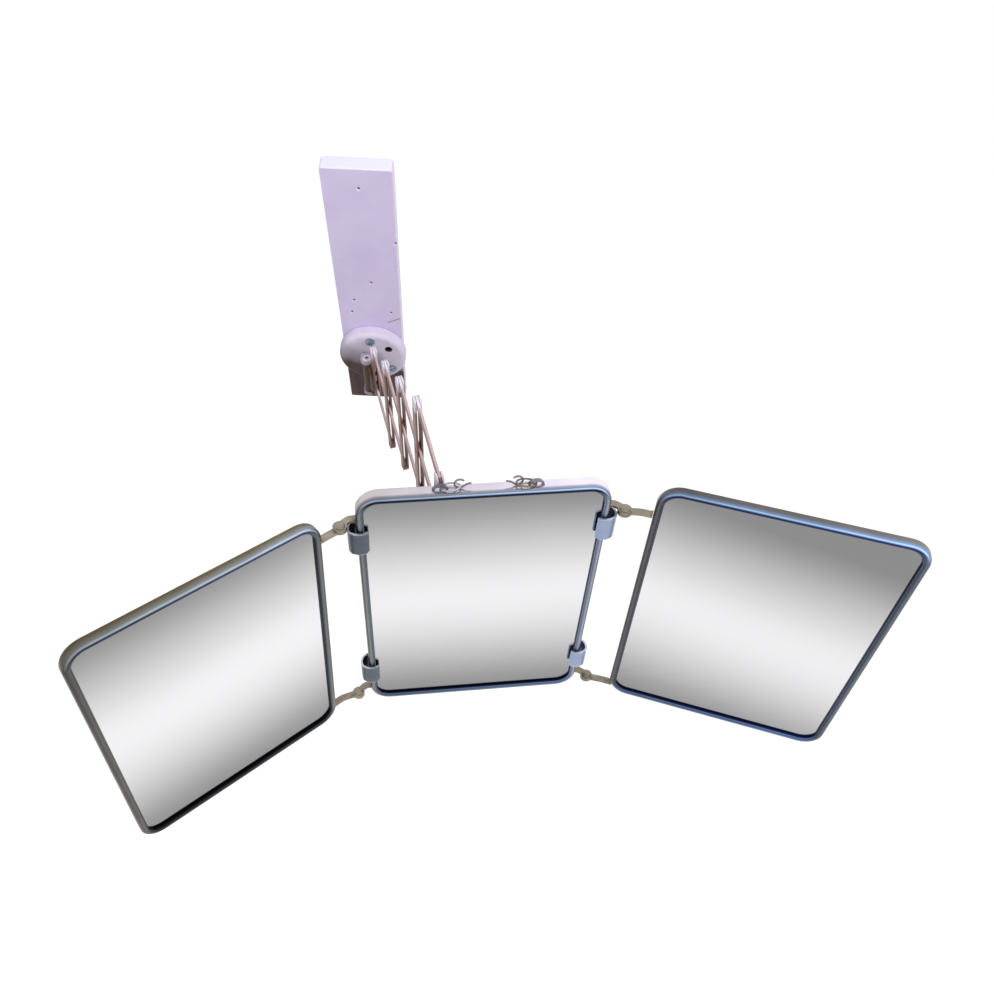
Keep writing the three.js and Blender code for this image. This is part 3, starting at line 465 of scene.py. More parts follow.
# %% Clamp steel
CLAMP_TALL, EDGE_BAND, SPINE_END = 22, 0.9, 26.5
BLUED_SHADED_LEFT, BLUED_LIT_RIGHT = (0.12, 0.13, 0.155), (0.36, 0.43, 0.60)
BLUED_CLOUD, BLUED_EDGE = (0.62, 0.66, 0.74), (0.62, 0.67, 0.76)


def blued_steel(name, edge_from):
    paint = Paint(name, "clamp_steel", metallic=0.85)
    cloud = paint.noise(60, 4, (0.4, 1, 1))
    # Painted shade: darker on the left side, paler on the right.
    colour = paint.mix(paint.rightward(), BLUED_SHADED_LEFT, BLUED_LIT_RIGHT)
    colour = paint.mix(cloud * 1.6 - 0.5, colour, BLUED_CLOUD, "MULTIPLY")
    to_edge = paint.axis("Z").size() - edge_from
    colour = paint.mix((to_edge / EDGE_BAND).clamped() * 0.8, colour, BLUED_EDGE)
    return paint.done(colour, 0.2 + cloud * 0.25, cloud, depth=0.0002, strength=0.3)


CLAMP_STEEL = blued_steel("clamp_steel", CLAMP_TALL / 2 - EDGE_BAND)
SPINE_STEEL = blued_steel("spine_steel", GLASS_HEIGHT / 2 - SPINE_END)

# %% [markdown]
# The frames are plated, and much of their colour is painted reflection. A value painted round the
# section, in millimetres from the glass, steers the colour: dirt and painted shade lie where glass
# and frame meet, a thin bright painted highlight runs beside it, and the half-round nose is darker
# again as a painted reflection. The top rail has painted reflection bands of its own, every frame has
# painted shade towards its left, the bottom rail has a tint of painted reflection, and a painted glint
# lies on the top rail towards the right. A cloudy tarnish lies over all.

# %% Frame plating
SECTION_LENGTH = 18
TOP_FROM, TOP_FADE = FRAME_TOP - 15, 10
# Dirt and painted shade where glass and frame meet.
GROOVE, BLACK_GROOVE = (0.006, 0.009, 0.03), (0.004, 0.005, 0.008)
TARNISH = (0.58, 0.57, 0.60)


def plating(name, side_bands, top_bands, left, right, low, glint):
    """Bands are (millimetres, colour) pairs of painted reflection round the section. The other four
    colours tint regions of a frame: left and right give painted shade towards the left, low a painted
    reflection on the bottom rail, and glint a painted highlight on the top rail towards the right.
    """
    paint = Paint(name, "plated_frame", metallic=0.9)
    cloud = paint.noise(26, 4)
    across = paint.attribute("across") / SECTION_LENGTH + (cloud - 0.5) * 0.03
    ramps = [
        paint.ramp(across, [(at / SECTION_LENGTH, colour) for at, colour in bands])
        for bands in (side_bands, top_bands)
    ]
    height, rightward = paint.axis("Z"), paint.rightward()
    top = ((height - TOP_FROM) / TOP_FADE).clamped()
    bottom = (-TOP_FROM - height) / TOP_FADE
    colour = paint.mix(top, *ramps)
    # Tints: painted reflection on the bottom rail, painted shade towards the left, a painted glint on
    # the top right, and tarnish.
    tints = [
        (bottom, low), (1.0, paint.mix(rightward, left, right)),
        (top * rightward, glint), (cloud * 1.4 - 0.5, TARNISH),
    ]
    for share, tint in tints:
        colour = paint.mix(share, colour, tint, "MULTIPLY")
    return paint.done(colour, 0.2 + cloud * 0.16, cloud, depth=0.0001, strength=0.2)


CENTRE_PLATING = plating(
    "centre_plating",
    [
        (0, GROOVE), (1.4, GROOVE), (2.1, (0.18, 0.26, 0.44)), (3.1, (0.14, 0.16, 0.20)),
        (5.0, (0.38, 0.41, 0.46)), (7.0, (0.19, 0.20, 0.22)), (9.5, (0.28, 0.27, 0.30)),
    ],
    [
        (0, GROOVE), (5.4, GROOVE), (6.0, (0.20, 0.34, 0.66)), (6.6, (0.66, 0.78, 0.95)),
        (7.3, (0.22, 0.26, 0.36)), (9.2, (0.42, 0.42, 0.54)), (11, (0.92, 0.85, 1.0)),
    ],
    (0.66, 0.65, 0.57), (0.95, 0.97, 1.0), (0.70, 0.80, 0.95), (1.2, 1.2, 1.2),
)
LEFT_PLATING = plating(
    "left_plating",
    [
        (0, BLACK_GROOVE), (1.4, BLACK_GROOVE), (2.3, (0.05, 0.06, 0.07)), (4.0, (0.19, 0.20, 0.20)),
        (6.5, (0.11, 0.105, 0.095)), (9.5, (0.06, 0.05, 0.045)),
    ],
    [
        (0, GROOVE), (5.0, (0.02, 0.025, 0.05)), (5.7, (0.16, 0.25, 0.44)), (6.4, (0.58, 0.67, 0.74)),
        (7.6, (0.27, 0.30, 0.32)), (10, (0.20, 0.20, 0.18)), (12.5, (0.15, 0.12, 0.06)),
    ],
    (0.66, 0.62, 0.54), (1.0, 1.0, 1.0), (0.42, 0.42, 0.44), (1.3, 1.3, 1.35),
)
RIGHT_PLATING = plating(
    "right_plating",
    [
        (0, GROOVE), (1.5, GROOVE), (2.2, (0.09, 0.12, 0.18)), (3.2, (0.05, 0.06, 0.075)),
        (5.0, (0.15, 0.17, 0.20)), (7.5, (0.075, 0.08, 0.095)), (11, (0.11, 0.10, 0.10)),
    ],
    [
        (0, GROOVE), (5.0, (0.01, 0.02, 0.08)), (5.7, (0.09, 0.21, 0.56)), (6.4, (0.42, 0.62, 0.86)),
        (7.2, (0.16, 0.27, 0.50)), (9.5, (0.13, 0.15, 0.19)), (12.5, (0.12, 0.115, 0.11)),
    ],
    (0.86, 0.76, 0.68), (0.95, 0.97, 1.0), (1.5, 1.9, 2.7), (2.0, 1.8, 1.6),
)

# %% [markdown]
# Silvered glass throws back what stands before it, but the room here is plain white, so the colour
# of the pane carries a painted reflection: it goes from grey to pale and back to grey up the pane,
# and a little haze makes it uneven, as old silvering is. The pane's own map gives the height, and
# lets the painted bright band lie a little aslant on a wing that is turned away.

# %% Mirror glass
# The painted reflection: a grey for each height up the pane.
PAINTED_REFLECTION_GREYS = [
    (0.0, 0.22), (0.15, 0.40), (0.31, 0.64), (0.46, 0.81),
    (0.58, 0.83), (0.70, 0.72), (0.86, 0.46), (1.0, 0.22),
]


def silvered_glass():
    paint = Paint("mirror_glass", metallic=1.0, roughness=0.07)
    haze = paint.noise(9)
    height = paint.axis("Y", "pane") + (haze - 0.5) * 0.03
    stops = [(at, (grey, grey, grey)) for at, grey in PAINTED_REFLECTION_GREYS]
    return paint.done(paint.ramp(height, stops, "B_SPLINE"), 0.04 + haze * 0.08)


def pressed_board():
    """The brown board that closes the back of each frame, stained here and there."""
    paint = Paint("pressed_board")
    fibre = paint.noise(300, 4, (1, 1, 0.3))
    stain = paint.noise(14) * 1.5 - 0.4
    colour = paint.mix(fibre, (0.20, 0.14, 0.09), (0.36, 0.28, 0.20))
    return paint.done(paint.mix(stain, colour, (0.24, 0.18, 0.14)), 0.7 + fibre * 0.25, fibre)


MIRROR_GLASS = silvered_glass()
PRESSED_BOARD = pressed_board()
print("paints made:", len(bpy.data.materials))

# %% [markdown]
# ## Modelling helpers
# Most pieces of this mirror are flat strip, turned round stock or bent wire. So three helpers do
# most of the work: give an outline a thickness, spin a profile, and run a section along a path.

# %% Outlines


def arc(cx, cy, radius, start, end, steps):
    step = (end - start) / steps
    return [
        (cx + radius * math.cos(start + i * step), cy + radius * math.sin(start + i * step))
        for i in range(steps + 1)
    ]


def rounded(points, steps=8):
    """An outline with rounded corners, from (x, y, radius) points in counterclockwise order."""
    outline = []
    for i, (x, y, radius) in enumerate(points):
        if radius == 0:
            outline.append((x, y))
            continue
        here = Vector((x, y))
        before = (Vector(points[i - 1][:2]) - here).normalized()
        after = (Vector(points[(i + 1) % len(points)][:2]) - here).normalized()
        half = before.angle(after) / 2
        middle = here + (before + after).normalized() * radius / math.sin(half)
        first = here + before * radius / math.tan(half) - middle
        sweep = math.pi - 2 * half
        if before.x * after.y - before.y * after.x > 0:
            sweep = -sweep
        start = math.atan2(first.y, first.x)
        outline += arc(middle.x, middle.y, radius, start, start + sweep, steps)
    return outline


def rectangle(left, low, right, high, radii=(0, 0, 0, 0)):
    """A rectangle with a radius for each corner, from the lower left one counterclockwise."""
    corners = [(left, low), (right, low), (right, high), (left, high)]
    return rounded([(*corner, radius) for corner, radius in zip(corners, radii)])


def mirrored(half):
    """A line of (x, y) points that crosses the middle, from its right half."""
    return [(-x, y) for x, y in reversed(half)] + half


def smooth_line(points, per_span):
    """A smooth open line through the points."""
    line = []
    for i in range(len(points) - 1):
        p0 = Vector(points[max(i - 1, 0)])
        p1, p2 = Vector(points[i]), Vector(points[i + 1])
        p3 = Vector(points[min(i + 2, len(points) - 1)])
        for step in range(per_span):
            t = step / per_span
            a = 2 * p1 + (p2 - p0) * t
            b = (2 * p0 - 5 * p1 + 4 * p2 - p3) * t**2
            c = (3 * p1 - p0 - 3 * p2 + p3) * t**3
            line.append((a + b + c) / 2)
    line.append(Vector(points[-1]))
    return line


def strip(points, width, per_span):
    """The outline of a strip of even width along a smooth line."""
    line = smooth_line(points, per_span)
    near, far = [], []
    for i, at in enumerate(line):
        along = (line[min(i + 1, len(line) - 1)] - line[max(i - 1, 0)]).normalized()
        side = Vector((-along.y, along.x)) * width / 2
        near.append(tuple(at + side))
        far.insert(0, tuple(at - side))
    return near + far


# %% Solids


def plate(outline, thick, low=None):
    """A flat outline given a thickness along Z, centred unless low is given."""
    low = -thick / 2 if low is None else low
    bm = bmesh.new()
    edge = [bm.verts.new((x, y, low)) for x, y in outline]
    face = bm.faces.new(edge)
    lifted = bmesh.ops.extrude_face_region(bm, geom=[face])
    top = [v for v in lifted["geom"] if isinstance(v, bmesh.types.BMVert)]
    bmesh.ops.translate(bm, verts=top, vec=(0, 0, thick))
    bmesh.ops.recalc_face_normals(bm, faces=bm.faces[:])
    return bm


def turned(profile, steps=40):
    """A turned piece about Z, from (radius, height) points that start and end on the axis."""
    bm = bmesh.new()
    line = [bm.verts.new((radius, 0, height)) for radius, height in profile]
    edges = [bm.edges.new(pair) for pair in zip(line, line[1:])]
    bmesh.ops.spin(
        bm, geom=line + edges, cent=(0, 0, 0), axis=(0, 0, 1), angle=TURN, steps=steps, use_merge=True
    )
    bmesh.ops.remove_doubles(bm, verts=bm.verts[:], dist=1e-4)
    bmesh.ops.recalc_face_normals(bm, faces=bm.faces[:])
    return bm


def rod(radius, low, high, steps=32):
    return turned([(0, low), (radius, low), (radius, high), (0, high)], steps)


def swept(rings, closed=False):
    """A skin over a row of closed rings of points, each ring bridged to the next."""
    bm = bmesh.new()
    loops = []
    for ring in rings:
        verts = [bm.verts.new(point) for point in ring]
        loops.append([bm.edges.new(pair) for pair in zip(verts, verts[1:] + verts[:1])])
    following = loops[1:] + loops[:1] if closed else loops[1:]
    for loop, other in zip(loops, following):
        bmesh.ops.bridge_loops(bm, edges=loop + other)
    if not closed:
        bmesh.ops.holes_fill(bm, edges=bm.edges[:], sides=0)
    bmesh.ops.recalc_face_normals(bm, faces=bm.faces[:])
    return bm


def wire(points, radius, closed=False, sides=10):
    """Round wire bent along a flat line of (x, y) points."""
    line = [Vector((x, y, 0)) for x, y in points]
    last = len(line) - 1
    rings = []
    for i, here in enumerate(line):
        before = line[i - 1] if closed or i > 0 else here
        after = line[(i + 1) % len(line)] if closed or i < last else here
        across = (after - before).normalized().cross(Vector((0, 0, 1)))
        section = arc(0, 0, radius, 0, TURN, sides)[:-1]
        rings.append([here + across * out + Vector((0, 0, up)) for out, up in section])
    return swept(rings, closed)


def joined(*parts):
    """Several pieces of mesh in one bmesh."""
    whole = bmesh.new()
    for part in parts:
        mesh = bpy.data.meshes.new("part")
        part.to_mesh(mesh)
        part.free()
        whole.from_mesh(mesh)
        bpy.data.meshes.remove(mesh)
    return whole


def moved(bm, *matrices):
    """A bmesh moved by one matrix after another, the last one first."""
    for matrix in reversed(matrices):
        bmesh.ops.transform(bm, matrix=matrix, verts=bm.verts[:])
    return bm


# %% [markdown]
# A finished piece is put in place, scaled from millimetres to metres and given its finish and its
# body, and the CAD node that it stands for is hidden. Its coordinates as drawn are kept on its
# points, for the finishes. Most pieces get a narrow bevel on their sharp edges, which catches the
# light as real edges do.

# %% Finished pieces
SHARP = 35 * DEG
made = []


def new_object(name, data):
    item = bpy.data.objects.new(name, data)
    bpy.context.scene.collection.objects.link(item)
    return item


def loose(name, bm):
    """An object made of a bmesh."""
    mesh = bpy.data.meshes.new(name)
    bm.to_mesh(mesh)
    bm.free()
    return new_object(name, mesh)


def finish(name, bm, place, body, paint, node, bevel=0.0, segments=2):
    """Turns a bmesh drawn in millimetres into a finished piece."""
    drawn = bm.verts.layers.float_vector.new("drawn")
    for vert in bm.verts:
        vert[drawn] = vert.co
    bmesh.ops.transform(bm, matrix=Matrix.Scale(MM, 4) @ place, verts=bm.verts[:])
    piece = loose(name, bm)
    mesh = piece.data
    mesh.materials.append(paint.material)
    if bevel:
        edge = piece.modifiers.new("edges", "BEVEL")
        edge.width = bevel * MM
        edge.segments = segments
        edge.limit_method = "ANGLE"
        edge.angle_limit = SHARP
        edge.harden_normals = True
    for polygon in mesh.polygons:
        polygon.use_smooth = True
    mesh.set_sharp_from_angle(angle=SHARP)
    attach(piece, body)
    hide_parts(node)
    made.append(piece)
    print(f"{name} on {body}: {len(mesh.polygons)} faces")


def carved(bm, cutters, operation="DIFFERENCE"):
    """A bmesh with other bmeshes cut from it, joined to it or kept in common with it."""
    body = loose("uncut", bm)
    tools = [loose("tool", cutter) for cutter in cutters]
    for tool in tools:
        cut = body.modifiers.new("cut", "BOOLEAN")
        cut.operation = operation
        cut.solver = "EXACT"
        cut.object = tool
    result = bmesh.new()
    result.from_object(body, bpy.context.evaluated_depsgraph_get())
    for item in [body, *tools]:
        mesh = item.data
        bpy.data.objects.remove(item)
        bpy.data.meshes.remove(mesh)
    return result


# %% [markdown]
# ## The wall board
# A plain length of painted wood. Its edges were planed by hand and its top right corner has been
# knocked about, so the corners have different radii and the long edges a soft bevel.

# %% Wall board
BOARD_CORNERS = (1.5, 1.5, 4, 3)

side, top = BOARD_WIDTH / 2, BOARD_HEIGHT / 2
board = moved(plate(rectangle(-side, -top, side, top, BOARD_CORNERS), BOARD_THICK, 0), FACE_OUT)
finish("wall_board", board, WALL, "wall", BOARD_PAINT, "backboard", bevel=1.3, segments=3)

# %% [markdown]
# ## The turned block
# A disc turned on a lathe, with a bullnose round its face: a profile spun about its axis. One screw
# has been lost, and its countersunk hole is cut after turning, as it was on the real one.

# %% Turned block
BLOCK_LIP, BLOCK_EDGE, COUNTERSINK = 5, 1, 1.5

nose = arc(BLOCK_RADIUS - BLOCK_LIP, BLOCK_THICK - BLOCK_LIP, BLOCK_LIP, 0, QUARTER, 8)
rim = [(BLOCK_RADIUS - BLOCK_EDGE, SEAT), (BLOCK_RADIUS, BLOCK_EDGE + SEAT)]
disc = turned([(0, SEAT), *rim, *nose, (0, BLOCK_THICK)], 96)
bottom = BLOCK_THICK - HOLE_DEEP
lost_hole = turned(
    [
        (0, bottom), (HOLE_RADIUS, bottom), (HOLE_RADIUS, BLOCK_THICK - COUNTERSINK),
        (HOLE_MOUTH, BLOCK_THICK), (HOLE_MOUTH, BLOCK_THICK + 1), (0, BLOCK_THICK + 1),
    ]
)
block = carved(disc, [moved(lost_hole, shift(LOST_X, LOST_Y, 0))])
place = shift(0, -BOARD_THICK, BLOCK_Z) @ FACE_OUT
finish("turned_block", block, place, "wall", BLOCK_PAINT, "wall_block")

# %% [markdown]
# ## Screws
# Slotted wood screws with low domed heads. The head is spun, and a thin box is cut across it for
# the slot.

# %% Slotted screws
# Each screw: the radius and rise of its head, the radius and length of its shank.
BLOCK_SCREW, BRACKET_SCREW = (5.4, 1.8, 2, 20), (3.4, 1.2, 1.9, 11)
SCREW_RIM, SCREW_SLOT, SLOT_DEEP = 0.35, 1.2, 0.8
SCREW_CIRCLE, SCREW_ANGLES = 26.5, (92, -36)


def domed(radius, rise, base):
    """Points up a low dome, from its rim to just short of the axis."""
    angles = [a * DEG for a in range(0, 90, 15)]
    return [(radius * math.cos(a), base + rise * math.sin(a)) for a in angles]


def slotted_screw(node, place, head, rise, shank, length, bevel):
    rim = SEAT + SCREW_RIM
    dome = [(head, SEAT), *domed(head, rise - rim, rim)]
    body = turned([(0, -length), (shank, -length), (shank, SEAT), *dome, (0, rise)])
    half = SCREW_SLOT / 2
    slot_box = plate(rectangle(-head, -half, head, half), 2, rise - SLOT_DEEP)
    screw = carved(body, [slot_box])
    finish(f"slotted_{node}", screw, place, "wall", SCREW_STEEL, node, bevel)


for number, degrees in enumerate(SCREW_ANGLES, 1):
    x, z = SCREW_CIRCLE * math.cos(degrees * DEG), SCREW_CIRCLE * math.sin(degrees * DEG)
    place = shift(x, BLOCK_FACE, BLOCK_Z + z) @ FACE_OUT @ turn(-degrees * DEG, "Z")
    slotted_screw(f"block_screw_{number}", place, *BLOCK_SCREW, bevel=0.12)

# %% [markdown]
# ## Bracket and swivel pins
# The bracket is one strip bent to a C. It is easiest to draw its side view, give that the width of
# the strip, and keep only what lies inside its plan, which rounds the ears.

# %% Wall bracket
BRACKET_WIDTH, BRACKET_THICK, EAR, BEND = 14, 3, 7, 4
EAR_HIGH, EAR_LOW, PLAN_PAST = -66.5, -115.5, 10
BRACKET_HIGH, BRACKET_LOW = EAR_HIGH + BRACKET_THICK, EAR_LOW - BRACKET_THICK
BRACKET_SCREW_IN = 9

strip_back = SEAT - BLOCK_FACE
ear_reach = EAR - PIN_Y
inside = strip_back + BRACKET_THICK
side_view = rounded(
    [
        (strip_back, BRACKET_LOW, BEND), (ear_reach, BRACKET_LOW, 0), (ear_reach, EAR_LOW, 0),
        (inside, EAR_LOW, 1), (inside, EAR_HIGH, 1), (ear_reach, EAR_HIGH, 0),
        (ear_reach, BRACKET_HIGH, 0), (strip_back, BRACKET_HIGH, BEND),
    ]
)
bent_strip = moved(plate(side_view, BRACKET_WIDTH), turn(-QUARTER, "Z") @ FACE_OUT)
half = BRACKET_WIDTH / 2
plan = [(-half, 1 - strip_back), (-half, -inside)]
plan += arc(0, PIN_Y, EAR, HALF_TURN, TURN, 24)
plan += [(half, -inside), (half, 1 - strip_back)]
plan_block = plate(plan, EAR_HIGH - EAR_LOW + 2 * PLAN_PAST, EAR_LOW - PLAN_PAST)
bracket = carved(bent_strip, [plan_block], "INTERSECT")
finish("bent_bracket", bracket, shift(PIN_X, 0, 0), "wall", IRON_PAINT, "wall_bracket", bevel=0.4)

for number, z in enumerate((EAR_HIGH - BRACKET_SCREW_IN, EAR_LOW + BRACKET_SCREW_IN), 1):
    place = shift(PIN_X, BLOCK_FACE - BRACKET_THICK - SEAT, z) @ FACE_OUT
    slotted_screw(f"bracket_screw_{number}", place, *BRACKET_SCREW, bevel=0.1)


# %% Swivel pins
def swivel_pin(low, high):
    """A tubular rivet: its upper end shows as a ring round a hole."""
    bottom, top = low - PIN_PLAY, high + PIN_PLAY
    return turned(
        [
            (0, bottom - PIN_RISE), (PIN_HEAD * 0.75, bottom - PIN_RISE), (PIN_HEAD, bottom - 0.7),
            (PIN_HEAD, bottom), (PIN_RADIUS, bottom), (PIN_RADIUS, top), (PIN_HEAD, top),
            (PIN_HEAD, top + 0.5), (PIN_HEAD - 0.5, top + 1.1), (PIN_HEAD - 1.4, top + PIN_RISE),
            (PIN_BORE + 0.6, top + PIN_RISE), (PIN_BORE, top + PIN_RISE - 0.5),
            (PIN_BORE, top - PIN_DEEP), (0, top - PIN_DEEP),
        ]
    )


pin = swivel_pin(BRACKET_LOW, BRACKET_HIGH)
place = shift(PIN_X, PIN_Y, 0)
finish("wall_pin", pin, place, "wall", PIN_PAINT, "wall_swivel_pin", bevel=0.1)

# %% [markdown]
# ## The lazy tongs
# Upright pairs of flat bars with a slanted bar crossing in the gap of each pair. Each bar is an
# outline with round ends given the thickness of strip steel, with a domed rivet at each pivot.

# %% Bars and rivets
PAIR_X = INNER_BAR / 2 + BAR_GAP + OUTER_BAR / 2
HALF_STACK = PAIR_X + OUTER_BAR / 2


def flat_bar(name, rivets, thick, place, body, paint, offset=0.0, fast=()):
    """A bar that hangs down from its first rivet, with its thickness along X."""
    length = (rivets - 1) * BAR_PITCH
    outline = arc(0, 0, BAR_WIDTH / 2, QUARTER, 3 * QUARTER, 20)
    outline += arc(length, 0, BAR_WIDTH / 2, -QUARTER, QUARTER, 20)
    bar = moved(plate(outline, thick), shift(offset, 0, 0), ALONG_X)
    if fast:
        bar = joined(bar, *fast)
    finish(f"strip_{name}", bar, place, body, paint, name, bevel=0.45, segments=3)


def headed_pin(head, rise, low, high, shank=RIVET_RADIUS):
    """A pin along Z with a domed head below low and another above high."""
    low_dome = [(radius, low - up) for radius, up in reversed(domed(head, rise, 0))]
    line = [(0, low - rise), *low_dome, (shank, low), (shank, high), *domed(head, rise, high)]
    return turned([*line, (0, high + rise)], 28)


def rivet(left, right, x, y, z):
    """A rivet along X, with a domed head outside each of the two places."""
    return moved(headed_pin(RIVET_HEAD, RIVET_RISE, left, right), shift(x, y, z), ALONG_X)


def top_rivet(k):
    return (TONGS_X, -TONGS_OUT - k * REACH, TONGS_TOP + k * RISE)


def upright_link(name, top, rivets, body):
    """A pair of bars, whose rivets are fast in the left bar."""
    place = ARM @ shift(*top)
    left, right = SUNK - HALF_STACK, HALF_STACK + SEAT / 2
    fast = [rivet(left, right, 0, 0, -i * BAR_PITCH) for i in range(rivets)]
    flat_bar(f"{name}_left_bar", rivets, OUTER_BAR, place, body, BAR_PAINT, -PAIR_X, fast)
    flat_bar(f"{name}_right_bar", rivets, OUTER_BAR, place, body, BAR_PAINT, PAIR_X)


def slanted_link(number, top, rivets):
    place = ARM @ shift(*top) @ turn(-ARM_OPEN, "X")
    flat_bar(f"slanted_bar_{number}", rivets, INNER_BAR, place, f"slant_{number}", SLANT_PAINT)


upright_link("post", top_rivet(0), 2, "swivel")
for k in range(1, CELLS + 1):
    upright_link(f"upright_{k}", top_rivet(k), 3, f"upright_{k}")
upright_link("end_post", (TONGS_X, END_Y, END_Z), 2, "end_post")
slanted_link(0, (TONGS_X, -TONGS_OUT, TONGS_TOP - BAR_PITCH), 2)
for k in range(1, CELLS + 1):
    slanted_link(k, top_rivet(k - 1), 3)
slanted_link(CELLS + 1, top_rivet(CELLS), 2)
print("bars made:", sum(piece.name.startswith("strip_") for piece in made))

# %% [markdown]
# ## Swivel flags
# Each end of the tongs is riveted to a forged flag: a round knuckle that turns on the swivel pin,
# with a flat leaf on it. So each is a rod united with a plate, and two rivets through the leaf.

# %% Swivel flags
KNUCKLE, LEAF, LEAF_GAP, FLAG_PLAY, NOTCH_PLAY = 5.5, 3, 0.25, 0.3, 0.5
LEAF_X = TONGS_X - HALF_STACK - LEAF_GAP - LEAF / 2
LEAF_FRONT = TONGS_OUT + BAR_WIDTH / 2
END_LOW, END_HIGH = 58, 84
WALL_FLAG_RIVETS, END_FLAG_RIVETS = (8, 24), (6, 16)


def swivel_flag(leaf_outline, post_y, low, high, rivet_heights, notch=None):
    leaf = moved(plate(leaf_outline, LEAF), shift(LEAF_X, 0, 0) @ STAND)
    if notch:
        gap = moved(rod(RIVET_HEAD + NOTCH_PLAY, -LEAF, LEAF), shift(LEAF_X, *notch), ALONG_X)
        leaf = carved(leaf, [gap])
    flag = carved(rod(KNUCKLE, low, high, 48), [leaf], "UNION")
    left, right = SUNK - LEAF / 2, TONGS_X + HALF_STACK - LEAF_X + SEAT / 2
    return joined(flag, *[rivet(left, right, LEAF_X, post_y, z) for z in rivet_heights])


low, high = EAR_LOW + FLAG_PLAY, EAR_HIGH - FLAG_PLAY
wall_leaf = rounded(
    [
        (3 - TONGS_OUT, low + 1, 3), (0, low + 1, 0), (0, high - 1, 0),
        (1 - TONGS_OUT, high - 1, 3), (-LEAF_FRONT, high - 16, 5), (-LEAF_FRONT, high - 26, 5),
    ]
)
heights = [EAR_HIGH - down for down in WALL_FLAG_RIVETS]
lower_rivet = (-TONGS_OUT, TONGS_TOP - BAR_PITCH)
flag = swivel_flag(wall_leaf, -TONGS_OUT, low, high, heights, lower_rivet)
finish("forged_wall_flag", flag, ARM, "swivel", FLAG_PAINT, "wall_swivel_flag", bevel=0.4)

end_leaf = rounded(
    [
        (0, END_LOW + 1, 0), (TONGS_OUT - 2, END_LOW + 2, 2), (LEAF_FRONT, END_LOW + 8, 3),
        (LEAF_FRONT, END_HIGH - 2, 2), (TONGS_OUT - 6, END_HIGH - 1, 2), (0, END_HIGH - 1, 0),
    ]
)
heights = [END_HIGH - down for down in END_FLAG_RIVETS]
flag = swivel_flag(end_leaf, TONGS_OUT, END_LOW, END_HIGH, heights)
place = ARM @ shift(0, END_PIN_Y, 0)
finish("forged_end_flag", flag, place, "end_post", FLAG_PAINT, "end_swivel_flag", bevel=0.4)

# %% [markdown]
# ## Yoke and tilt bolt
# The yoke holds the second swivel pin between two ears. A plate in front of them reaches across to
# the tilt barrel, and a bolt with a wing nut squeezes the lugs of the spine on that barrel.

# %% Yoke
YOKE_EAR, YOKE_RADIUS, YOKE_BRIDGE, YOKE_FRONT = 3, 8.5, 3, -9.4
BARREL, BARREL_HALF, TILT_PIN, WEB = 4.8, 10, 3, 8
YOKE_LOW = END_LOW - FLAG_PLAY - YOKE_EAR
YOKE_HIGH = END_HIGH + FLAG_PLAY + YOKE_EAR

mirror_pin = swivel_pin(YOKE_LOW, YOKE_HIGH)
finish("mirror_pin", mirror_pin, HEAD, "end_post", PIN_PAINT, "mirror_swivel_pin")

ear_outline = [(YOKE_RADIUS, YOKE_FRONT), *arc(0, 0, YOKE_RADIUS, 0, HALF_TURN, 32)]
ear_outline.append((-YOKE_RADIUS, YOKE_FRONT))
tilt_x, tilt_y, tilt_z = TILT_AXIS
edge = tilt_x + WEB + 1
bridge_outline = rounded(
    [
        (-YOKE_RADIUS, YOKE_LOW, 1), (edge, tilt_z - 9, 4), (edge, tilt_z + 9, 4),
        (YOKE_RADIUS + 8, YOKE_HIGH, 6), (-YOKE_RADIUS, YOKE_HIGH, 1),
    ]
)
yoke = moved(plate(bridge_outline, YOKE_BRIDGE), shift(0, YOKE_FRONT + YOKE_BRIDGE / 2, 0) @ FACE_OUT)
neck_outline = rectangle(tilt_x - WEB, tilt_y, tilt_x + WEB, YOKE_FRONT + 0.5)
barrel_place = shift(*TILT_AXIS) @ turn(QUARTER + MIRROR_ROLL, "Y")
additions = [
    plate(ear_outline, YOKE_EAR, YOKE_LOW),
    plate(ear_outline, YOKE_EAR, YOKE_HIGH - YOKE_EAR),
    plate(neck_outline, WEB, tilt_z - WEB / 2),
    moved(rod(BARREL, -BARREL_HALF, BARREL_HALF, 40), barrel_place),
]
yoke = carved(yoke, additions, "UNION")
finish("forged_yoke", yoke, HEAD, "head", IRON_PAINT, "mirror_yoke", bevel=0.5)

# %% [markdown]
# The bolt has a plain hexagon head. The nut is a cone with two rounded wings for finger and thumb,
# each wing a plate turned half round from the other.

# %% Tilt bolt and wing nut
LUG_PLAY, LUG_THICK, LUG_RADIUS = 0.4, 3, 6.5
LUG_OUT = BARREL_HALF + LUG_PLAY + LUG_THICK
BOLT_HEAD, BOLT_HEAD_THICK, BOLT_PAST = 5.6, 3.5, 9
NUT_RADIUS, NUT_NECK, NUT_HEIGHT, NUT_SHEET = 6, 4.6, 7, 2

head_low = -LUG_OUT - SEAT - BOLT_HEAD_THICK
hexagon = rod(BOLT_HEAD, head_low, head_low + BOLT_HEAD_THICK, 6)
end = LUG_OUT + BOLT_PAST
shank = turned([(0, -LUG_OUT - 1), (TILT_PIN, -LUG_OUT - 1), (TILT_PIN, end - 1), (2, end), (0, end)])
place = CARRIAGE @ ALONG_X
bolt = joined(hexagon, shank)
finish("tilt_bolt_piece", bolt, place, "carriage", SCREW_STEEL, "tilt_bolt", bevel=0.2)

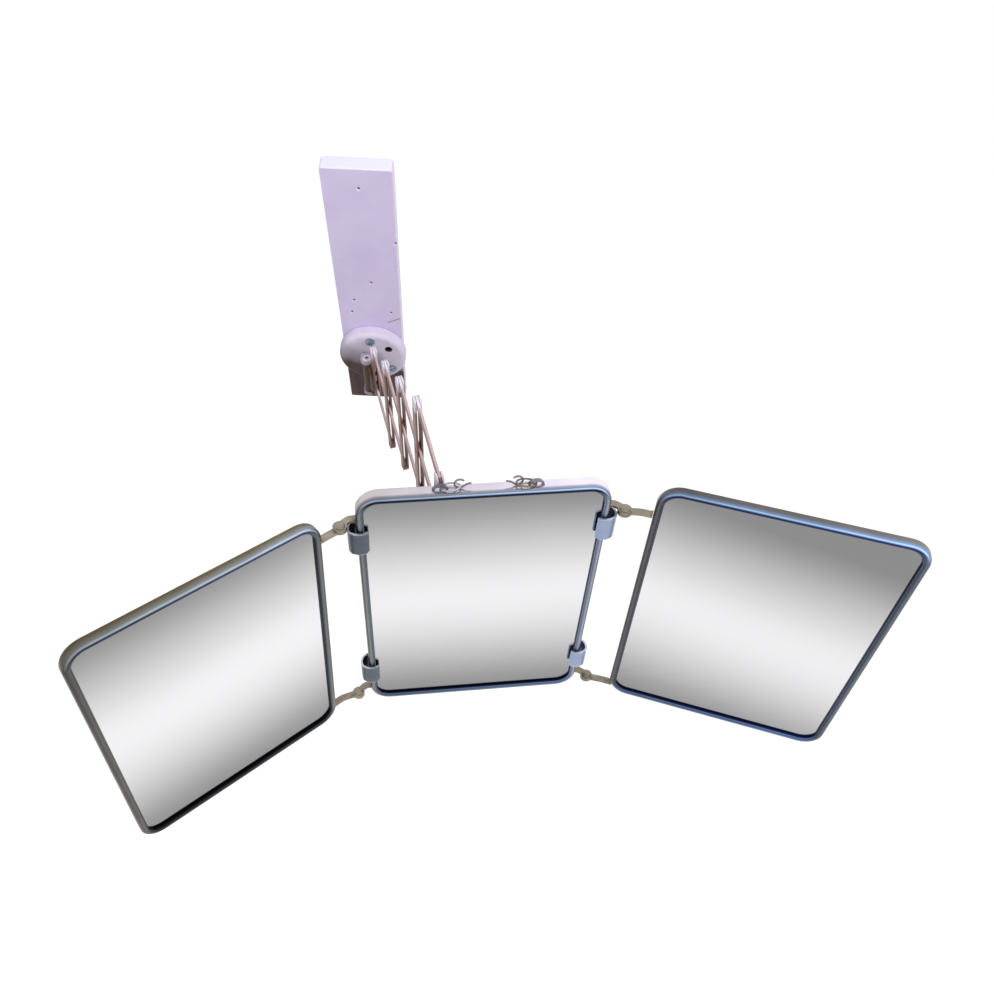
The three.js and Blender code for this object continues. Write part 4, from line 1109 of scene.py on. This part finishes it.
hub = turned([(0, 0), (NUT_RADIUS, 0), (NUT_RADIUS, 0.8), (NUT_NECK, NUT_HEIGHT), (0, NUT_HEIGHT)])
wing_outline = rounded([(3, 2, 0), (7.2, 1.5, 2), (10.2, 6, 1.6), (8.6, 9.5, 1.2), (3, 6, 0)])
nut_wings = [
    moved(plate(wing_outline, NUT_SHEET), turn(angle, "Z") @ FACE_OUT) for angle in (0, HALF_TURN)
]
nut = carved(hub, nut_wings, "UNION")
place = CARRIAGE @ shift(LUG_OUT + SEAT, 0, 0) @ FACE_OUT @ ALONG_X
finish("cast_wing_nut", nut, place, "wing_nut", SCREW_STEEL, "tilt_wing_nut", bevel=0.35)

# %% [markdown]
# ## Frames and glass
# Each frame is one rolled section carried round a rectangle with rounded corners: copies of the
# section stand round each corner, and each is bridged to the next. How far round the section a
# point lies, in millimetres from the glass, is kept for the plating.

# %% Frame section
CORNER_STEPS = 12


def frame_section(depth):
    """(outward, forward) points round the frame's section, from the glass over the nose."""
    middle = FRAME_FACE / 2
    inner, inner_nose = middle - FRAME_WALL, FRAME_NOSE - FRAME_WALL
    angles = [a * DEG for a in range(0, 181, 12)]
    points = [
        (middle - middle * math.cos(a), FRAME_BASE + FRAME_NOSE * math.sin(a)) for a in angles
    ]
    points += [
        (FRAME_FACE, 1.4 - depth), (FRAME_FACE - 0.4, 0.4 - depth), (FRAME_FACE - 1.4, -depth),
        (FRAME_FACE - FRAME_LIP, -depth), (FRAME_FACE - FRAME_LIP, FRAME_WALL - depth),
        (FRAME_FACE - FRAME_WALL, FRAME_WALL - depth),
    ]
    lengths = [0.0]
    for point, following in zip(points, points[1:]):
        lengths.append(lengths[-1] + math.dist(point, following))
    hollow = [
        (middle + inner * math.cos(a), FRAME_BASE + inner_nose * math.sin(a)) for a in angles[::3]
    ]
    return points + hollow, lengths + [0.0] * len(hollow)


def rolled_frame(depth):
    section, lengths = frame_section(depth)
    rings = []
    for quarter in range(4):
        cx = (GLASS_WIDTH / 2 - GLASS_CORNER) * (1 if quarter in (0, 3) else -1)
        cy = (GLASS_HEIGHT / 2 - GLASS_CORNER) * (1 if quarter < 2 else -1)
        for step in range(CORNER_STEPS + 1):
            angle = (quarter + step / CORNER_STEPS) * QUARTER
            ring = []
            for out, forward in section:
                away = GLASS_CORNER + out
                ring.append((cx + away * math.cos(angle), cy + away * math.sin(angle), forward))
            rings.append(ring)
    bm = swept(rings, closed=True)
    across = bm.verts.layers.float.new("across")
    for number, vert in enumerate(bm.verts):
        vert[across] = lengths[number % len(section)]
    return moved(bm, FACE_OUT)


# %% Glass pane and backing
BACKING_GAP = 0.2


def pane_plate(thick):
    """A plate of the outline that drops into the frame, with its face at zero."""
    inset = FRAME_FACE - FRAME_WALL - 2 * SEAT
    side, top, corner = GLASS_WIDTH / 2 + inset, GLASS_HEIGHT / 2 + inset, GLASS_CORNER + inset
    return plate(rectangle(-side, -top, side, top, [corner] * 4), thick, -thick)


def glass_pane(lift, slant):
    """The glass, mapped from 0 to 1 across and up, with the map lifted and a little aslant."""
    bm = pane_plate(GLASS_THICK)
    pane = bm.verts.layers.float_vector.new("pane")
    for vert in bm.verts:
        right = vert.co.x / GLASS_WIDTH
        height = vert.co.y / GLASS_HEIGHT + lift + slant * right
        vert[pane] = (right + 0.5, height + 0.5, 0)
    return moved(bm, FACE_OUT)


def mirror(name, place, body, metal, depth, lift=0.0, slant=0.0):
    ring = rolled_frame(depth)
    finish(f"{name}_rolled_frame", ring, place, body, metal, f"{name}_frame")
    pane = glass_pane(lift, slant)
    finish(f"{name}_pane", pane, place, body, MIRROR_GLASS, f"{name}_glass", bevel=0.2)
    front, back = GLASS_THICK + BACKING_GAP, depth - FRAME_WALL - SEAT
    board = moved(pane_plate(back - front), shift(0, front, 0) @ FACE_OUT)
    node = f"{name}_backing"
    finish(f"pressed_{node}", board, place, body, PRESSED_BOARD, node, bevel=0.3)


left_panel, right_panel = (wing["panel"] for wing in WINGS.values())
mirror("centre", CENTRE, "carriage", CENTRE_PLATING, CENTRE_DEPTH)
mirror("left_wing", left_panel, "left_wing", LEFT_PLATING, WING_DEPTH, -0.02)
mirror("right_wing", right_panel, "right_wing", RIGHT_PLATING, WING_DEPTH, 0.06, 0.12)
print("pieces made:", len(made))

# %% [markdown]
# ## Clamp bars
# One strip of sheet goes behind the mirror and is folded round both its sides, with a tongue over
# the edge of the glass. Its line is drawn from above and given the height of the strip.

# %% Clamp bars
CLAMP_SHEET, CLAMP_INSET, CLAMP_LOOP = 1.6, 37.5, 6.4
LOW_ROUND, HIGH_ROUND, HOOK_DEPTH = 6, 2.5, 20
CLAMP_HIGH = GLASS_HEIGHT / 2 - CLAMP_INSET
CLAMP_BACK = CENTRE_DEPTH + 2 * SEAT + CLAMP_SHEET / 2


def clamp_bar():
    side, loop = FRAME_SIDE, CLAMP_LOOP
    front = -FRAME_NOSE - FRAME_BASE - 1.8
    half_line = [
        (side - 14, CLAMP_BACK), (side - 1, CLAMP_BACK), (side + 3, CLAMP_BACK - 0.8),
        (side + loop - 0.8, 6), (side + loop, 1.5), (side + loop - 1.4, -2.6),
        (side + 0.5, front), (side - 4.5, front), (side - 8.5, front + 1.8),
    ]
    band = plate(strip(mirrored(half_line), CLAMP_SHEET, 6), CLAMP_TALL)
    tip, past, tall = side - 10, side + loop + 3, CLAMP_TALL / 2
    keep = rectangle(tip, -tall, past, tall, (LOW_ROUND, 0, 0, HIGH_ROUND))
    window = plate(rectangle(-past, 0, past, CLAMP_BACK + 2), CLAMP_TALL + 0.01)
    for angle in (0, HALF_TURN):
        hook = moved(plate(keep, HOOK_DEPTH), turn(angle, "Z") @ FACE_OUT)
        window = carved(window, [hook], "UNION")
    return carved(band, [window], "INTERSECT")


for level, height in (("upper", CLAMP_HIGH), ("lower", -CLAMP_HIGH)):
    node = f"{level}_clamp_bar"
    place = CENTRE @ shift(0, 0, height)
    finish(f"folded_{node}", clamp_bar(), place, "carriage", CLAMP_STEEL, node, bevel=0.3)

# %% [markdown]
# The spine joins the two clamp bars behind the mirror. It is a waisted blade, with two lugs bent
# back out of a window in it. The tilt bolt passes through the lugs, and four studs hold the bars.

# %% Clamp spine
SPINE_HALF, SPINE_WAIST, SPINE_THICK, SPINE_PAST = 10, 7, 3, 12
STUD_RADIUS, STUD_HEAD, STUD_RISE, STUD_X = 1.8, 3.2, 0.9, 7
SPINE_FRONT = CLAMP_BACK + CLAMP_SHEET / 2 + SEAT

top, mid = CLAMP_HIGH + SPINE_PAST, AXIS_ABOVE
right_side = [
    (SPINE_HALF, -top, 4), (SPINE_HALF, 30 - top, 3), (SPINE_WAIST, 44 - top, 3),
    (SPINE_WAIST, mid - 28, 3), (LUG_OUT, mid - 14, 3), (LUG_OUT, mid + 12, 3),
    (SPINE_HALF, mid + 18, 3), (SPINE_HALF, top, 4),
]
blade_outline = rounded(right_side + [(-x, z, r) for x, z, r in reversed(right_side)])
blade = moved(plate(blade_outline, SPINE_THICK), shift(0, SPINE_FRONT + SPINE_THICK / 2, 0) @ FACE_OUT)
inner = BARREL_HALF + LUG_PLAY
window = plate(rectangle(-inner, 0, inner, AXIS_BEHIND), 2 * LUG_RADIUS, mid - LUG_RADIUS)
lug_outline = [(SPINE_FRONT, mid - LUG_RADIUS)]
lug_outline += arc(AXIS_BEHIND, mid, LUG_RADIUS, -QUARTER, QUARTER, 24)
lug_outline.append((SPINE_FRONT, mid + LUG_RADIUS))
lugs = [
    moved(plate(lug_outline, LUG_THICK), shift(side * (inner + LUG_THICK / 2), 0, 0) @ STAND)
    for side in (-1, 1)
]
blade = carved(carved(blade, [window]), lugs, "UNION")
low, high = SUNK - SPINE_FRONT - SPINE_THICK, CLAMP_SHEET / 2 + SEAT / 2 - CLAMP_BACK
studs = [
    moved(headed_pin(STUD_HEAD, STUD_RISE, low, high, STUD_RADIUS), shift(x, 0, z) @ FACE_OUT)
    for z in (CLAMP_HIGH, -CLAMP_HIGH)
    for x in (-STUD_X, STUD_X)
]
spine = joined(blade, *studs)
finish("cut_spine", spine, CENTRE, "carriage", SPINE_STEEL, "clamp_spine", bevel=0.35)

# %% [markdown]
# ## Hinges
# Two flat straps with round eyes lie one on the other on an upright rivet. The strap's neck swings
# forward from the frame's side to the eye, so that the wings can fold flat over the centre glass.

# %% Hinges
STRAP_THICK, STRAP_WIDTH, STRAP_EYE = 2.2, 6, 5.4
STRAP_FOOT, FOOT_HALF, FOOT_DOWN, FOOT_UP = 1.6, 2.2, 1.1, 2.5
STRAP_BACK, WING_STRAP_BACK = 6.2, 2.6
STRAP_LIFT = (STRAP_THICK + SEAT / 2) / 2
HINGE_HIGH, HINGE_LOW = GLASS_HEIGHT / 2 - 23, 3 - GLASS_HEIGHT / 2
HINGE_HEAD, HINGE_RISE = 4.2, 1.9


def corner_sink(z):
    """How far a frame's side has curved in at a height, where the corner has begun."""
    radius = GLASS_CORNER + FRAME_FACE
    into = max(abs(z) - GLASS_HEIGHT / 2 + GLASS_CORNER, 0)
    return radius - math.sqrt(radius**2 - into**2)


def hinge_strap(node, place, body, direction, reach, back):
    seat = direction * reach
    line = [(seat, back), (seat * 0.6, back), (seat * 0.2, back * 0.45), (0, 0)]
    neck = plate(strip(line, STRAP_WIDTH, 8), STRAP_THICK)
    low, high = sorted((seat, seat - direction * STRAP_FOOT))
    outline = rectangle(low, back - FOOT_HALF, high, back + FOOT_HALF)
    foot = plate(outline, FOOT_DOWN + FOOT_UP, -FOOT_DOWN)
    eye = rod(STRAP_EYE, -STRAP_THICK / 2, STRAP_THICK / 2, 40)
    strap = carved(carved(neck, [eye], "UNION"), [foot], "UNION")
    finish(f"forged_{node}", strap, place, body, STRAP_METAL, node, bevel=0.35)


def on_hinge(side, z):
    return CENTRE @ shift(side * HINGE_X, HINGE_Y, z)


for name, wing in WINGS.items():
    side = wing["side"]
    for level, z in (("upper", HINGE_HIGH), ("lower", HINGE_LOW)):
        hinge = f"{name}_{level}"
        place = on_hinge(side, z + STRAP_LIFT)
        reach = HINGE_X - FRAME_SIDE - 2 * SEAT + corner_sink(z + STRAP_LIFT + FOOT_UP)
        back = STRAP_BACK - HINGE_Y
        hinge_strap(f"{hinge}_centre_strap", place, "carriage", -side, reach, back)
        out = z - wing["drop"]
        place = wing["hinge"] @ shift(0, 0, z - STRAP_LIFT)
        gap = WING_X - FRAME_SIDE - 2 * SEAT + side * (out + FOOT_UP) * math.sin(wing["roll"])
        reach = gap + corner_sink(out - STRAP_LIFT + FOOT_UP)
        back = WING_STRAP_BACK + WING_Y - out * math.sin(wing["lean"])
        hinge_strap(f"{hinge}_wing_strap", place, name, side, reach, back)
        node = f"{hinge}_hinge_rivet"
        pin = headed_pin(HINGE_HEAD, HINGE_RISE, -STRAP_THICK - SEAT, STRAP_THICK + SEAT)
        place = on_hinge(side, z)
        finish(f"domed_{node}", pin, place, "carriage", STRAP_METAL, node)

# %% [markdown]
# ## Hanging lugs, rings and hooks
# Two little bridges of sheet on top of the frame hold a wire ring each, and on each ring hangs a
# hook coiled from wire. Wire is a small circle carried along a line.

# %% Hangers
LUG_SHEET, LUG_WIDE, LUG_RISE = 0.9, 3.2, 0.1
WIRE_RADIUS, RING_LONG, RING_WIDE, RING_RISE, RING_TILT = 0.75, 7.5, 4.2, 1.15, 5.5 * DEG
HOOK_RADIUS, HOOK_TAIL, HOOK_OPEN = 3.9, 4.6, 40 * DEG
HOOK_RISE = HOOK_RADIUS + WIRE_RADIUS + SEAT
HANGER_Y = 4
HANGERS = [("left", -33, 1, PALE_WIRE), ("right", 38, -1, BROWN_WIRE)]

tab_line = mirrored([(1.6, 3.6), (3.4, 2.9), (5.2, 0.5), (6, 0.45)])
ring_line = arc(0, 0, 1, 0, TURN, 48)[:-1]
ring_line = [(RING_LONG + RING_LONG * x, RING_WIDE * y) for x, y in ring_line]
hook_line = arc(0, 0, HOOK_RADIUS, HOOK_OPEN, TURN - HOOK_OPEN, 28)
hook_line += [(HOOK_RADIUS + 1, -1), (HOOK_RADIUS + HOOK_TAIL, 0)]


def on_top(x, height):
    return CENTRE @ shift(x, HANGER_Y, FRAME_TOP + height)


for name, x, direction, metal in HANGERS:
    facing = turn(0 if direction > 0 else HALF_TURN, "Z")
    node = f"{name}_hanging_lug"
    place = on_top(x, LUG_RISE) @ FACE_OUT
    tab = plate(strip(tab_line, LUG_SHEET, 5), LUG_WIDE)
    finish(f"bent_{node}", tab, place, "carriage", DARK_STEEL, node, bevel=0.2)
    node = f"{name}_hanging_ring"
    place = on_top(x, RING_RISE) @ facing @ turn(-RING_TILT, "Y")
    ring = wire(ring_line, WIRE_RADIUS, closed=True)
    finish(f"wire_{node}", ring, place, f"{name}_ring", metal, node)
    far = direction * (2 * RING_LONG - WIRE_RADIUS)
    node = f"{name}_hanging_hook"
    place = on_top(x + far, HOOK_RISE) @ facing @ FACE_OUT
    hook = wire(hook_line, WIRE_RADIUS)
    finish(f"coiled_{node}", hook, place, f"{name}_hook", DARK_STEEL, node)
print("pieces made:", len(made), "of", len(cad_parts), "CAD nodes")

# %% [markdown]
# ## Light and room
# A pale room lights the object evenly. One broad soft lamp from above on the right lifts the tops
# and right faces, as in the photograph, and a weak one fills from the left. The camera and the
# metal see plain white. The lamps stay out of reflections, where they would wash out the mirrors.

# %% World
ROOM_COLOUR, ROOM_STRENGTH, WHITE = (0.93, 0.94, 1.0, 1), 0.62, (1, 1, 1, 1)


def white_rays(nodes):
    """1 for the rays that see the room itself: from the camera, off metal or through glass."""
    kinds = ("Is Camera Ray", "Is Glossy Ray", "Is Transmission Ray")
    camera_ray, glossy, through = (nodes.add("ShaderNodeLightPath", output=kind) for kind in kinds)
    return camera_ray.above(glossy).above(through)


world = bpy.data.worlds.new("room")
bpy.context.scene.world = world
world.use_nodes = True
room = Nodes(world.node_tree)
ambient = room.add("ShaderNodeBackground", {}, {"Color": ROOM_COLOUR, "Strength": ROOM_STRENGTH})
white = room.add("ShaderNodeBackground", {}, {"Color": WHITE})
sky = room.add("ShaderNodeMixShader", {}, {0: white_rays(room), 1: ambient, 2: white})
room.tree.links.new(sky.socket, room.tree.nodes["World Output"].inputs["Surface"])


# %% Lamps
def lamp(name, place, target, size, power):
    data = bpy.data.lights.new(name, "AREA")
    data.size = size
    data.energy = power
    item = new_object(name, data)
    item.location = place
    item.rotation_euler = (Vector(target) - Vector(place)).to_track_quat("-Z", "Y").to_euler()
    item.visible_glossy = False


MIDDLE = (0.1, -0.25, 0)
lamp("window", (0.8, -0.85, 1.5), MIDDLE, 1.8, 24)
lamp("fill", (-1.2, -1.2, 0.6), MIDDLE, 1.2, 5)

# %% [markdown]
# The mirror hangs on a wall, so the floor is far below it. It is plain and pale, with a glow that
# lifts it to white for the camera, and it keeps the soft, faint shadow of the mirrors.

# %% Floor
FLOOR_Z, FLOOR_SIZE, FLOOR_GLOW, FLOOR_GREY = -1.2, 12, 0.65, (0.5, 0.49, 0.49, 1)

floor_bm = bmesh.new()
bmesh.ops.create_grid(floor_bm, x_segments=1, y_segments=1, size=FLOOR_SIZE / 2)
floor = loose("floor", floor_bm)
floor.location = (0, 0, FLOOR_Z)
pale = Paint("pale_floor", base_color=FLOOR_GREY, emission_strength=FLOOR_GLOW)
pale.feed(emission_color=white_rays(pale))
floor.data.materials.append(pale.material)

# %% [markdown]
# ## Last measures
# The Standard view keeps white as white. The dressed mirror has to keep the size of the CAD model.

# %% Last measures
bpy.context.scene.view_settings.view_transform = "Standard"
bpy.context.view_layer.update()


print("pieces", len(made), "triangles", sum(len(p.data.polygons) for p in made))
